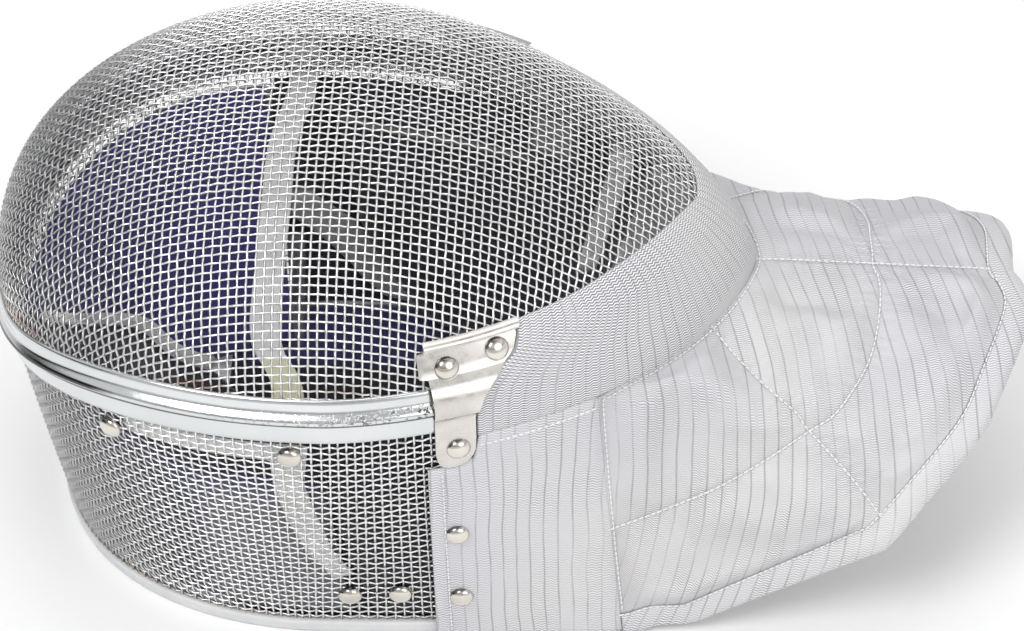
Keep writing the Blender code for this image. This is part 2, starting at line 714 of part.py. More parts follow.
def crown_pad(finish):
    """Padded cup that the top of the head rests in."""
    share = np.linspace(0.0, 1.0, 6)[:, None]
    angle = stations(-CROWN_PAD_NEAR_END, CROWN_PAD_FAR_END)[None, :] + 0.0 * share
    angle[:, :1] = -CROWN_PAD_NEAR_FOOT_END + (CROWN_PAD_NEAR_FOOT_END - CROWN_PAD_NEAR_TOP_END) * share
    back = crown_pad_place(angle, share, 0.0)
    return slab("crown_pad", back, crown_pad_place(angle, share, CROWN_PAD_THICKNESS), finish)


def crown_pad_binding(finish):
    """Light tape folded over the near part of the crown pad's upper edge."""
    angle = stations(-BINDING_END, -15.0)
    middle = crown_pad_place(angle, 1.0, 0.5 * CROWN_PAD_THICKNESS)
    middle[:, 2] += BINDING_RADIUS + GAP
    inward = crown_pad_place(angle, 1.0, CROWN_PAD_THICKNESS) - crown_pad_place(angle, 1.0, 0.0)
    inward = unit(inward)
    turn = np.linspace(0.0, 2.0 * np.pi, 6, endpoint=False) + np.pi / 6.0
    rings = middle[:, None, :] + inward[:, None, :] * np.cos(turn)[None, :, None] * BINDING_RADIUS
    rings[..., 2] += np.sin(turn)[None, :] * BINDING_RADIUS
    return tube("crown_pad_binding", rings, finish)


def brow_strap(finish):
    """Flat strap across the brow from wall to wall."""
    x = STRAP_X + np.array([-0.5, 0.5]) * STRAP_WIDTH
    share = (MIDDLE_X - x) / (CROWN_REACH - WALL)
    wide = (HALF_WIDTH - WALL - LAP) * (1.0 - share**CROWN_PLAN_POWER) ** (1.0 / CROWN_PLAN_POWER)
    wide -= 0.3 * MM
    part = np.linspace(-1.0, 1.0, 13)
    grid = np.zeros((2, part.size, 3))
    grid[..., 0] = x[:, None]
    grid[..., 1] = wide[:, None] * part[None, :]
    grid[..., 2] = STRAP_Z - STRAP_SAG * (1.0 - part**2)[None, :]
    lower = grid - np.array([0.0, 0.0, STRAP_THICKNESS])
    return slab("brow_strap", grid, lower, finish)


def back_strap(finish):
    """Wide elastic strap across the rear opening, from rim to rim."""
    part = np.linspace(-1.0, 1.0, 9)
    grid = np.zeros((len(BACK_STRAP_ROWS), part.size, 3))
    grid[..., 0] = BACK_STRAP_ROWS[:, :1]
    grid[..., 1] = BACK_STRAP_ROWS[:, 1:] * part[None, :]
    grid[..., 2] = BACK_STRAP_Z + BACK_STRAP_LIFT * np.abs(part[None, :]) ** 3
    lower = grid - np.array([0.0, 0.0, STRAP_THICKNESS])
    return slab("back_strap", grid, lower, finish)


def main():
    for item in list(bpy.data.objects):
        bpy.data.objects.remove(item, do_unlink=True)
    wire = material("woven_wire", (0.55, 0.55, 0.54), 0.35, 1.0)
    chrome = material("band_chrome", (0.80, 0.80, 0.80), 0.12, 1.0)
    plate = material("plate_steel", (0.74, 0.71, 0.68), 0.25, 1.0)
    trim = material("rim_trim", (0.62, 0.61, 0.59), 0.5)
    silver = material("silver_cloth", (0.66, 0.65, 0.69), 0.5)
    blue = material("blue_cloth", (0.03, 0.025, 0.12), 0.85)
    dark = material("dark_cloth", (0.02, 0.02, 0.03), 0.9)
    light = material("light_tape", (0.60, 0.60, 0.58), 0.8)
    face_mesh(wire)
    crown_mesh(wire)
    brow_band(chrome)
    rear_rim(trim)
    jaw_strip(silver)
    bib(silver)
    bib_hem(silver)
    for key, side in (("near", -1.0), ("far", 1.0)):
        bracket(f"bracket_{key}", side, plate)
        side_cover(f"side_cover_{key}", side, silver)
        inside_tape(f"inside_tape_{key}", side, key, light)
        cheek_pad(f"cheek_pad_{key}", side, key, dark)
        for name, angle, z, seat in RIVETS:
            rivet(f"{name}_{key}", side, angle, z * MM, seat, plate)
    crown_pad(blue)
    crown_pad_binding(light)
    brow_strap(light)
    back_strap(dark)


main()
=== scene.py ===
"""Fencing mask lying face up: wire weave, plated fittings and quilted cloth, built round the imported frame.

Metres, +Z up out of the face, +X from the crown of the head to the bib, wearer's right side at -Y.
A place on the hard shell is an angle round the head (degrees, 0 crown, 90 temples, 180 chin, negative
on the near side), a height above the floor and an offset outwards.
"""

import bmesh
import bpy
import numpy as np
from mathutils import Matrix


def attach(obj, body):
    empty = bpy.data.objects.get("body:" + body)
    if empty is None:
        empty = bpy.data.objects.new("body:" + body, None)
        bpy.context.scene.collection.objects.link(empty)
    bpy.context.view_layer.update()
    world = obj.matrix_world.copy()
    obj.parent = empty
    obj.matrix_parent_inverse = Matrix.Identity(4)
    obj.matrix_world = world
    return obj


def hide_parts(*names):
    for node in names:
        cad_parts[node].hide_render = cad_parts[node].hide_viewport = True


bl_info = {
    "name": "Fencing Mask",
    "version": (1, 0, 0),
    "blender": (4, 5, 0),
    "location": "3D View > Sidebar > Mask",
    "description": "Builds a wire mesh fencing mask with a quilted bib",
    "category": "Object",
}

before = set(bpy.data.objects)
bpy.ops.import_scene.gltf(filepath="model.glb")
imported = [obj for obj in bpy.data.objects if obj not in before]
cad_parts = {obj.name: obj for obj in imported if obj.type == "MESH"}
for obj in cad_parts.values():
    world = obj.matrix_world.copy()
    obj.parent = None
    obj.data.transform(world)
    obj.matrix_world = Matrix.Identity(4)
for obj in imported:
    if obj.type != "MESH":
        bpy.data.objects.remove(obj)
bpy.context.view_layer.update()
MM = 0.001

# Shell
MIDDLE_X = -63.2 * MM
CROWN_REACH = 123.4 * MM
CHIN_REACH = 149.6 * MM
HALF_WIDTH = 103.0 * MM
WIDE_Z = 108.2 * MM
CROWN_WIDE_LIFT = 9.0 * MM
TOP_Z = 183.7 * MM
CROWN_PLAN_POWER = 2.25
CHIN_PLAN_POWER = 1.68
CROWN_ARC_POWER = 2.05
SIDE_ARC_POWER = 2.51
CHIN_ARC_POWER = 1.66
RIM_MIDDLE_X = -67.5 * MM
RIM_CROWN_REACH = 102.5 * MM
RIM_JAW_REACH = 174.0 * MM
RIM_HALF_WIDTH = 87.4 * MM
RIM_JAW_PINCH = 4.0 * MM
RIM_POWER = 2.09
UNDERCUT_POWER = 1.2

# Where the pieces meet
JAW_CORNER = 132.0
BAND_LOW_Z = 112.5 * MM
BAND_HEIGHT = 20.0 * MM
BAND_DIP = 22.0 * MM
BAND_DIP_POWER = 4.0
BAND_END = 114.0
SEAM_Z = 108.0 * MM
SEAM_CHIN_DROP = 5.0 * MM
STRIP_TOP_Z = 146.5 * MM
STRIP_CHIN_DROP = 8.0 * MM
RIM_HEIGHT = 6.0 * MM
RIM_SIDE_DEGREES = 3.0
WALL = 1.6 * MM
COVER_OFFSET = 1.6 * MM
CLOTH = 2.0 * MM
STRIP_OFFSET = 0.8 * MM


# ---- shell

def signed_power(value, power):
    return np.sign(value) * np.abs(value) ** power


def smooth(value, low, high):
    """0 below low, 1 above high, eased between them."""
    t = np.clip((value - low) / (high - low), 0.0, 1.0)
    return t * t * (3.0 - 2.0 * t)


def unit(vectors):
    return vectors / np.maximum(np.linalg.norm(vectors, axis=-1, keepdims=True), 1e-12)


def shell(angle, z, offset=0.0):
    """Points of the shell at angles round the head and heights, moved out by offset."""
    angle, z, offset = np.broadcast_arrays(
        np.asarray(angle, float), np.asarray(z, float), np.asarray(offset, float))
    c = -np.cos(np.radians(angle))
    s = np.sin(np.radians(angle))
    crown = c < 0.0
    power = np.where(crown, 2.0 / CROWN_PLAN_POWER, 2.0 / CHIN_PLAN_POWER)
    reach = np.where(crown, CROWN_REACH, CHIN_REACH) + offset
    arc = SIDE_ARC_POWER + (np.where(crown, CROWN_ARC_POWER, CHIN_ARC_POWER) - SIDE_ARC_POWER) * c * c
    wide = WIDE_Z + CROWN_WIDE_LIFT * np.clip(-c, 0.0, 1.0) ** 3
    rise = np.clip((z - wide) / (TOP_Z + offset - wide), 0.0, 1.0)
    share = (1.0 - rise**arc) ** (1.0 / arc)
    x = MIDDLE_X + reach * signed_power(c, power) * share
    y = (HALF_WIDTH + offset) * signed_power(s, power) * share
    rim_power = np.where(crown, 2.0 / RIM_POWER, power)
    rim_reach = np.where(crown, RIM_CROWN_REACH, RIM_JAW_REACH) + offset
    rim_x = RIM_MIDDLE_X + rim_reach * signed_power(c, rim_power)
    pinch = RIM_JAW_PINCH * (c / np.cos(np.radians(JAW_CORNER))) ** 2
    rim_y = np.where(crown, (RIM_HALF_WIDTH + offset) * signed_power(s, 2.0 / RIM_POWER),
                     np.sign(s) * (RIM_HALF_WIDTH + offset - pinch))
    low = np.clip((wide - z) / wide, 0.0, 1.0) ** UNDERCUT_POWER
    return np.stack([x * (1.0 - low) + rim_x * low, y * (1.0 - low) + rim_y * low, z + 0.0 * x], -1)


def shell_frame(angle, z, offset=0.0):
    """A place on the shell, its outward normal and the level direction along it."""
    here = shell(angle, z, offset)
    level = unit(shell(np.add(angle, 0.4), z, offset) - shell(np.subtract(angle, 0.4), z, offset))
    upward = unit(shell(angle, np.add(z, 0.5 * MM), offset) - shell(angle, np.subtract(z, 0.5 * MM), offset))
    out = unit(np.cross(upward, level))
    away = here - np.array([MIDDLE_X, 0.0, 60.0 * MM])
    turn = np.where((out * away).sum(-1, keepdims=True) < 0.0, -1.0, 1.0)
    return here, out * turn, level


def band_low_z(angle):
    return BAND_LOW_Z - BAND_DIP * np.clip(np.cos(np.radians(angle)), 0.0, 1.0) ** BAND_DIP_POWER


def seam_z(angle):
    past = np.clip((np.abs(angle) - JAW_CORNER) / (180.0 - JAW_CORNER), 0.0, 1.0)
    return SEAM_Z - SEAM_CHIN_DROP * past**2


def strip_top_z(angle):
    """Height of the strip's upper edge, which drops earlier on the far side."""
    near = np.clip((-angle - 140.0) / 40.0, 0.0, 1.0) ** 1.7
    far = smooth(angle, 114.0, 150.0) + 0.35 * smooth(angle, 135.0, 160.0) * (1.0 - smooth(angle, 160.0, 180.0))
    return STRIP_TOP_Z - STRIP_CHIN_DROP * np.where(angle < 0.0, near, far)


def parting_z(angle):
    behind = band_low_z(angle) + 0.5 * BAND_HEIGHT
    return behind + (seam_z(angle) - behind) * smooth(np.abs(angle), BAND_END, JAW_CORNER)


# ---- meshes

def add_mesh(name, vertices, faces, finish=None, uv=None, sharp=None):
    """A mesh object; uv is one pair for each vertex."""
    mesh = bpy.data.meshes.new(name)
    mesh.from_pydata(np.asarray(vertices, float).tolist(), [], faces)
    if uv is not None:
        layer = mesh.uv_layers.new(name="UVMap")
        corner = np.zeros(len(mesh.loops), np.int32)
        mesh.loops.foreach_get("vertex_index", corner)
        layer.data.foreach_set("uv", np.asarray(uv, np.float32)[corner].ravel())
    mesh.shade_smooth()
    if sharp is not None:
        mesh.set_sharp_from_angle(angle=np.radians(sharp))
    if finish is not None:
        mesh.materials.append(finish)
    made = bpy.data.objects.new(name, mesh)
    bpy.context.scene.collection.objects.link(made)
    return made


def outward(obj):
    """Merges doubles and turns every face outwards."""
    bm = bmesh.new()
    bm.from_mesh(obj.data)
    bmesh.ops.remove_doubles(bm, verts=bm.verts, dist=1e-6)
    bmesh.ops.recalc_face_normals(bm, faces=bm.faces)
    bm.to_mesh(obj.data)
    bm.free()
    return obj


def sweep(name, rings, finish, closed=False, sharp=None, across=None):
    """A solid from sections (stations, points, xyz) whose point j faces point -1-j across the wall."""
    count, sides = rings.shape[:2]
    faces = []
    last = count if closed else count - 1
    for i in range(last):
        a, b = i * sides, (i + 1) % count * sides
        for j in range(sides):
            k = (j + 1) % sides
            faces.append((a + j, a + k, b + k, b + j))
    if not closed:
        for base, flip in ((0, True), ((count - 1) * sides, False)):
            for j in range(sides // 2 - 1):
                quad = [base + v for v in (j, j + 1, sides - 2 - j, sides - 1 - j)]
                faces.append(tuple(reversed(quad)) if flip else tuple(quad))
    along = np.linalg.norm(np.diff(rings, axis=0), axis=-1).mean(1)
    along = np.concatenate([[0.0], np.cumsum(along)])
    round_ = np.linalg.norm(np.diff(rings, axis=1), axis=-1).mean(0)
    round_ = np.concatenate([[0.0], np.cumsum(round_)])
    u, v = np.meshgrid(along, round_, indexing="ij")
    if across is not None:
        u = across
    uv = np.stack([u, v], -1).reshape(-1, 2)
    return outward(add_mesh(name, rings.reshape(-1, 3), faces, finish, uv, sharp))


def poly_points(rows, count):
    """count points evenly spaced in the row number of a table."""
    rows = np.array(rows, float)
    run = np.linspace(0.0, len(rows) - 1.0, count)
    return np.stack([np.interp(run, np.arange(len(rows)), column) for column in rows.T], 1)


def smooth_rows(rows, count):
    """A table's rows joined by a smooth curve through them."""
    rows = np.array(rows, float)
    run = np.linspace(0.0, len(rows) - 1.0, count)
    i = np.clip(np.floor(run).astype(int), 0, len(rows) - 2)
    t = (run - i)[:, None]
    p0 = rows[np.maximum(i - 1, 0)]
    p1 = rows[i]
    p2 = rows[i + 1]
    p3 = rows[np.minimum(i + 2, len(rows) - 1)]
    return 0.5 * (2 * p1 + (p2 - p0) * t + (2 * p0 - 5 * p1 + 4 * p2 - p3) * t**2
                  + (3 * p1 - p0 - 3 * p2 + p3) * t**3)


# ---- node trees

class Tree:
    """Short hand for building a node tree."""

    def __init__(self, tree):
        self.tree = tree

    def add(self, kind, *inputs, **settings):
        node = self.tree.nodes.new(kind)
        for name, value in settings.items():
            setattr(node, name, value)
        for place, value in enumerate(inputs):
            self.put(node, place, value)
        return node

    def put(self, node, place, value):
        if value is None:
            return
        socket = node.inputs[place]
        if isinstance(value, bpy.types.NodeSocket):
            self.tree.links.new(value, socket)
        elif isinstance(value, bpy.types.Node):
            self.tree.links.new(value.outputs[0], socket)
        else:
            socket.default_value = value

    def math(self, operation, a, b=None, c=None):
        return self.add("ShaderNodeMath", a, b, c, operation=operation).outputs[0]


def geometry_tree(name, sockets):
    """An empty Geometry Nodes tree with a geometry and these named inputs, and its group input."""
    group = bpy.data.node_groups.new(name, "GeometryNodeTree")
    group.interface.new_socket(name="Geometry", in_out="INPUT", socket_type="NodeSocketGeometry")
    for label, kind, value in sockets:
        item = group.interface.new_socket(name=label, in_out="INPUT", socket_type=kind)
        if value is not None:
            item.default_value = value
    group.interface.new_socket(name="Geometry", in_out="OUTPUT", socket_type="NodeSocketGeometry")
    tree = Tree(group)
    start = tree.add("NodeGroupInput")
    return group, tree, start


def finish_tree(tree, start, geometry):
    """Realizes instances, sets the material and ends the tree."""
    real = tree.add("GeometryNodeRealizeInstances", geometry)
    painted = tree.add("GeometryNodeSetMaterial", real)
    tree.put(painted, 2, start.outputs["Material"])
    tree.add("NodeGroupOutput", painted)


def bake(obj, group, values):
    """Runs the tree on obj and keeps the result as its plain mesh."""
    modifier = obj.modifiers.new(group.name, "NODES")
    modifier.node_group = group
    for item in group.interface.items_tree:
        if item.item_type == "SOCKET" and item.in_out == "INPUT" and item.name in values:
            modifier[item.identifier] = values[item.name]
    obj.update_tag()
    bpy.context.view_layer.update()
    depsgraph = bpy.context.evaluated_depsgraph_get()
    mesh = bpy.data.meshes.new_from_object(obj.evaluated_get(depsgraph))
    mesh.name = obj.name
    obj.modifiers.remove(modifier)
    old = obj.data
    obj.data = mesh
    if old.users == 0:
        (bpy.data.curves if isinstance(old, bpy.types.Curve) else bpy.data.meshes).remove(old)
    return obj


def path_mesh(name, lines, fields):
    """Edges along lines of points, with named point attributes."""
    points = np.concatenate([line for line in lines])
    edges = []
    start = 0
    for line in lines:
        edges += [(start + i, start + i + 1) for i in range(len(line) - 1)]
        start += len(line)
    mesh = bpy.data.meshes.new(name)
    mesh.from_pydata(points.tolist(), edges, [])
    for label, kind, values in fields:
        layer = mesh.attributes.new(label, kind, "POINT")
        key = "vector" if kind == "FLOAT_VECTOR" else "value"
        layer.data.foreach_set(key, np.asarray(values, np.float32).ravel())
    made = bpy.data.objects.new(name, mesh)
    bpy.context.scene.collection.objects.link(made)
    return made


def wire_tree():
    """Round wire along every line, lifted over and under the wires it crosses."""
    group, tree, start = geometry_tree("Woven wire", [
        ("Wire Radius", "NodeSocketFloat", 0.5 * MM),
        ("Crimp", "NodeSocketFloat", 0.5 * MM),
        ("Sides", "NodeSocketInt", 4),
        ("Material", "NodeSocketMaterial", None),
    ])
    lift = tree.add("GeometryNodeInputNamedAttribute", "crimp", data_type="FLOAT_VECTOR")
    height = tree.add("ShaderNodeVectorMath", lift, operation="SCALE")
    tree.put(height, 3, start.outputs["Crimp"])
    moved = tree.add("GeometryNodeSetPosition", start.outputs["Geometry"])
    tree.put(moved, 3, height)
    curve = tree.add("GeometryNodeMeshToCurve", moved)
    round_ = tree.add("GeometryNodeCurvePrimitiveCircle")
    tree.put(round_, 0, start.outputs["Sides"])
    tree.tree.links.new(start.outputs["Wire Radius"], round_.inputs["Radius"])
    wire = tree.add("GeometryNodeCurveToMesh", curve, round_)
    wire.inputs["Fill Caps"].default_value = True
    soft = tree.add("GeometryNodeSetShadeSmooth", wire)
    finish_tree(tree, start, soft)
    return group


def stitch_tree():
    """Short raised stitches along every line."""
    group, tree, start = geometry_tree("Stitches", [
        ("Pitch", "NodeSocketFloat", 4.6 * MM),
        ("Length", "NodeSocketFloat", 3.4 * MM),
        ("Thickness", "NodeSocketFloat", 0.7 * MM),
        ("Material", "NodeSocketMaterial", None),
    ])
    curve = tree.add("GeometryNodeMeshToCurve", start.outputs["Geometry"])
    spaced = tree.add("GeometryNodeResampleCurve", curve, mode="LENGTH")
    tree.tree.links.new(start.outputs["Pitch"], spaced.inputs["Length"])
    bead = tree.add("GeometryNodeMeshUVSphere", 8, 6, 0.5)
    size = tree.add("ShaderNodeCombineXYZ", start.outputs["Length"], start.outputs["Thickness"],
                    start.outputs["Thickness"])
    shaped = tree.add("GeometryNodeTransform", bead)
    tree.tree.links.new(size.outputs[0], shaped.inputs["Scale"])
    tangent = tree.add("GeometryNodeInputTangent")
    turn = tree.add("FunctionNodeAlignRotationToVector", axis="X")
    tree.tree.links.new(tangent.outputs[0], turn.inputs["Vector"])
    laid = tree.add("GeometryNodeInstanceOnPoints", spaced)
    tree.tree.links.new(shaped.outputs[0], laid.inputs["Instance"])
    tree.tree.links.new(turn.outputs[0], laid.inputs["Rotation"])
    soft = tree.add("GeometryNodeSetShadeSmooth", laid)
    finish_tree(tree, start, soft)
    return group


def rivet_tree():
    """A domed head on every point, facing along its out attribute."""
    group, tree, start = geometry_tree("Rivet heads", [
        ("Radius", "NodeSocketFloat", 4.4 * MM),
        ("Rise", "NodeSocketFloat", 2.5 * MM),
        ("Material", "NodeSocketMaterial", None),
    ])
    out = tree.add("GeometryNodeInputNamedAttribute", "out", data_type="FLOAT_VECTOR")
    turn = tree.add("FunctionNodeAlignRotationToVector", axis="Z")
    tree.tree.links.new(out.outputs[0], turn.inputs["Vector"])
    dome = tree.add("GeometryNodeMeshUVSphere", 28, 14, 1.0)
    size = tree.add("ShaderNodeCombineXYZ", start.outputs["Radius"], start.outputs["Radius"],
                    start.outputs["Rise"])
    shaped = tree.add("GeometryNodeTransform", dome)
    tree.tree.links.new(size.outputs[0], shaped.inputs["Scale"])
    laid = tree.add("GeometryNodeInstanceOnPoints", start.outputs["Geometry"])
    tree.tree.links.new(shaped.outputs[0], laid.inputs["Instance"])
    tree.tree.links.new(turn.outputs[0], laid.inputs["Rotation"])
    soft = tree.add("GeometryNodeSetShadeSmooth", laid)
    finish_tree(tree, start, soft)
    return group


# ---- materials

def new_material(name):
    made = bpy.data.materials.new(name)
    made.use_nodes = True
    tree = Tree(made.node_tree)
    shader = made.node_tree.nodes["Principled BSDF"]
    return made, tree, shader


def noise(tree, vector, scale, detail=3.0, roughness=0.5):
    node = tree.add("ShaderNodeTexNoise", noise_dimensions="3D")
    tree.put(node, 0, vector)
    node.inputs["Scale"].default_value = scale
    node.inputs["Detail"].default_value = detail
    node.inputs["Roughness"].default_value = roughness
    return node.outputs["Fac"]


def ramp(tree, value, stops):
    node = tree.add("ShaderNodeValToRGB", value)
    line = node.color_ramp
    while len(line.elements) < len(stops):
        line.elements.new(0.5)
    for element, (place, colour) in zip(line.elements, stops):
        element.position = place
        element.color = (*colour, 1.0) if len(colour) == 3 else colour
    return node.outputs[0]


def grey(value):
    return (value, value, value)


def bump(tree, shader, height, distance, strength=1.0, normal=None):
    node = tree.add("ShaderNodeBump")
    node.inputs["Strength"].default_value = strength
    node.inputs["Distance"].default_value = distance
    tree.tree.links.new(height, node.inputs["Height"])
    if normal is not None:
        tree.tree.links.new(normal, node.inputs["Normal"])
    tree.tree.links.new(node.outputs[0], shader.inputs["Normal"])
    return node.outputs[0]


def remap(tree, value, low, high, to_low, to_high):
    node = tree.add("ShaderNodeMapRange", value, low, high, to_low, to_high)
    return node.outputs[0]


def mix_colour(tree, share, a, b):
    node = tree.add("ShaderNodeMix", data_type="RGBA")
    for place, value in ((0, share), (6, a), (7, b)):
        if isinstance(value, tuple):
            value = (*value, 1.0)
        tree.put(node, place, value)
    return node.outputs[2]


def wire_finish():
    """Bare drawn wire, stained brown in places where it meets the band, with painted shade towards the crown end."""
    made, tree, shader = new_material("woven_wire")
    place = tree.add("ShaderNodeTexCoord").outputs["Object"]
    split = tree.add("ShaderNodeSeparateXYZ", place)
    spots = noise(tree, place, 420.0, 2.0)
    wide = noise(tree, place, 30.0, 3.0)
    tone = ramp(tree, spots, [(0.3, (0.70, 0.70, 0.70)), (0.62, (0.93, 0.93, 0.93))])
    back = remap(tree, split.outputs[0], MIDDLE_X, MIDDLE_X - CROWN_REACH, 0.0, 1.0)
    dip = tree.math("MULTIPLY", tree.math("POWER", back, 4.5), BAND_DIP)
    edge = tree.math("SUBTRACT", BAND_LOW_Z + BAND_HEIGHT, dip)
    above = tree.math("SUBTRACT", split.outputs[2], edge)
    close = remap(tree, above, 0.5 * MM, 5.0 * MM, 1.0, 0.0)
    close = tree.math("MULTIPLY", close, remap(tree, above, -3.0 * MM, 0.0, 0.0, 1.0))
    patch = remap(tree, noise(tree, place, 26.0, 3.0), 0.5, 0.6, 0.0, 0.8)
    stain = tree.math("MULTIPLY", close, patch)
    foot = remap(tree, split.outputs[2], RIM_HEIGHT + 2.6 * MM, RIM_HEIGHT + 0.8 * MM, 0.0, 0.6)
    stain = tree.math("MAXIMUM", stain, foot)
    # painted shade: towards the crown end the wire's colour goes darker, standing in for dark reflections there
    painted_crown_shade = remap(tree, split.outputs[0], -122.0 * MM, -160.0 * MM, 0.0, 0.6)
    tone = mix_colour(tree, painted_crown_shade, tone, (0.34, 0.34, 0.34))
    stained = mix_colour(tree, stain, tone, (0.30, 0.20, 0.13))
    tree.tree.links.new(stained, shader.inputs["Base Color"])
    rough = remap(tree, wide, 0.3, 0.7, 0.24, 0.38)
    tree.tree.links.new(rough, shader.inputs["Roughness"])
    shader.inputs["Metallic"].default_value = 1.0
    return made


def chrome_finish():
    """Plating with a painted dark reflection in the hollow under the bead and along the bead round the crown, and pits
    on the bead near the temples.
    """
    made, tree, shader = new_material("band_chrome")
    source = tree.add("ShaderNodeTexCoord")
    place = source.outputs["Object"]
    split = tree.add("ShaderNodeSeparateXYZ", place)
    section_run = tree.add("ShaderNodeSeparateXYZ", source.outputs["UV"]).outputs[1]
    wide = noise(tree, place, 22.0, 4.0)
    tone = ramp(tree, wide, [(0.3, (0.64, 0.66, 0.67)), (0.7, (0.74, 0.75, 0.76))])
    # painted dark reflection: a dark line in the hollow under the bead, wider towards the crown
    crown = remap(tree, split.outputs[0], -90.0 * MM, -150.0 * MM, 0.0, 1.0)
    thin = tree.math("ADD", 0.45 * MM, tree.math("MULTIPLY", crown, 0.7 * MM))
    far_off = tree.math("ABSOLUTE", tree.math("SUBTRACT", section_run, BEAD_CREASE))
    painted_crease_reflection = remap(tree, tree.math("DIVIDE", far_off, thin), 0.7, 1.1, 1.0, 0.0)
    dark = mix_colour(tree, tree.math("MULTIPLY", painted_crease_reflection, 0.9), tone, (0.10, 0.10, 0.10))
    pits = noise(tree, place, 620.0, 3.0, 0.6)
    temple = remap(tree, split.outputs[0], -110.0 * MM, -30.0 * MM, 0.0, 1.0)
    on_bead = remap(tree, tree.math("ABSOLUTE", tree.math("SUBTRACT", section_run, BEAD_CREASE + 4.2 * MM)),
                    2.6 * MM, 4.2 * MM, 1.0, 0.0)
    speck = remap(tree, pits, 0.53, 0.59, 0.0, 1.0)
    speck = tree.math("MULTIPLY", tree.math("MULTIPLY", speck, temple), on_bead)
    pits_and_painted_reflection = mix_colour(tree, tree.math("MULTIPLY", speck, 0.95), dark, (0.10, 0.10, 0.09))
    # painted dark reflection: a dark line along the bead round the crown, mixed in with the real pits
    painted_bead_reflection = remap(tree, tree.math("ABSOLUTE", tree.math("SUBTRACT", section_run, BEAD_CREASE + 4.4 * MM)),
                   0.7 * MM, 1.1 * MM, 0.93, 0.0)
    painted_bead_reflection = tree.math("MULTIPLY", painted_bead_reflection, remap(tree, split.outputs[0], -134.0 * MM, -144.0 * MM, 0.0, 1.0))
    pits_and_painted_reflection = mix_colour(tree, painted_bead_reflection, pits_and_painted_reflection, (0.04, 0.04, 0.04))
    rust = remap(tree, noise(tree, place, 33.0, 3.0), 0.62, 0.68, 0.0, 0.7)
    rusty = mix_colour(tree, tree.math("MULTIPLY", rust, on_bead), pits_and_painted_reflection, (0.62, 0.42, 0.36))
    tree.tree.links.new(rusty, shader.inputs["Base Color"])
    shader.inputs["Metallic"].default_value = 1.0
    rough = remap(tree, noise(tree, place, 90.0, 3.0), 0.3, 0.7, 0.12, 0.22)
    rough = tree.math("ADD", rough, tree.math("MULTIPLY", speck, 0.3))
    tree.tree.links.new(rough, shader.inputs["Roughness"])
    height = tree.math("SUBTRACT", tree.math("MULTIPLY", noise(tree, place, 700.0, 4.0, 0.65), 0.3), speck)
    bump(tree, shader, height, 0.25 * MM, 0.4)
    return made


def plate_finish(name, tone_low, tone_high, rough_low, rough_high, painted_top_reflection=None):
    made, tree, shader = new_material(name)
    place = tree.add("ShaderNodeTexCoord").outputs["Object"]
    wide = noise(tree, place, 60.0, 4.0)
    tone = ramp(tree, wide, [(0.3, tone_low), (0.7, tone_high)])
    # painted dark reflection on the heads' upward faces, tilted towards the crown
    if painted_top_reflection is not None:
        facing = tree.add("ShaderNodeSeparateXYZ", tree.add("ShaderNodeNewGeometry").outputs["Normal"])
        upward = tree.math("SUBTRACT", facing.outputs[2], tree.math("MULTIPLY", facing.outputs[0], 0.5))
        tone = mix_colour(tree, remap(tree, upward, 0.68, 0.86, 0.0, 0.85), tone, grey(painted_top_reflection))
    tree.tree.links.new(tone, shader.inputs["Base Color"])
    shader.inputs["Metallic"].default_value = 1.0
    rough = remap(tree, noise(tree, place, 240.0, 3.0), 0.3, 0.7, rough_low, rough_high)
    tree.tree.links.new(rough, shader.inputs["Roughness"])
    bump(tree, shader, noise(tree, place, 900.0, 3.0), 0.1 * MM, 0.25)
    return made


def trim_finish():
    made, tree, shader = new_material("rim_trim")
    place = tree.add("ShaderNodeTexCoord").outputs["Object"]
    wide = noise(tree, place, 45.0, 4.0)
    tone = ramp(tree, wide, [(0.3, (0.60, 0.61, 0.62)), (0.7, (0.72, 0.72, 0.72))])
    tree.tree.links.new(tone, shader.inputs["Base Color"])
    shader.inputs["Roughness"].default_value = 0.45
    bump(tree, shader, noise(tree, place, 500.0, 3.0), 0.2 * MM, 0.3)
    return made


BEAD_CREASE = 9.0 * MM
STRIPE = 5.2 * MM
KNIT_ROW = 0.95 * MM
KNIT_WAVE = 1.5 * MM


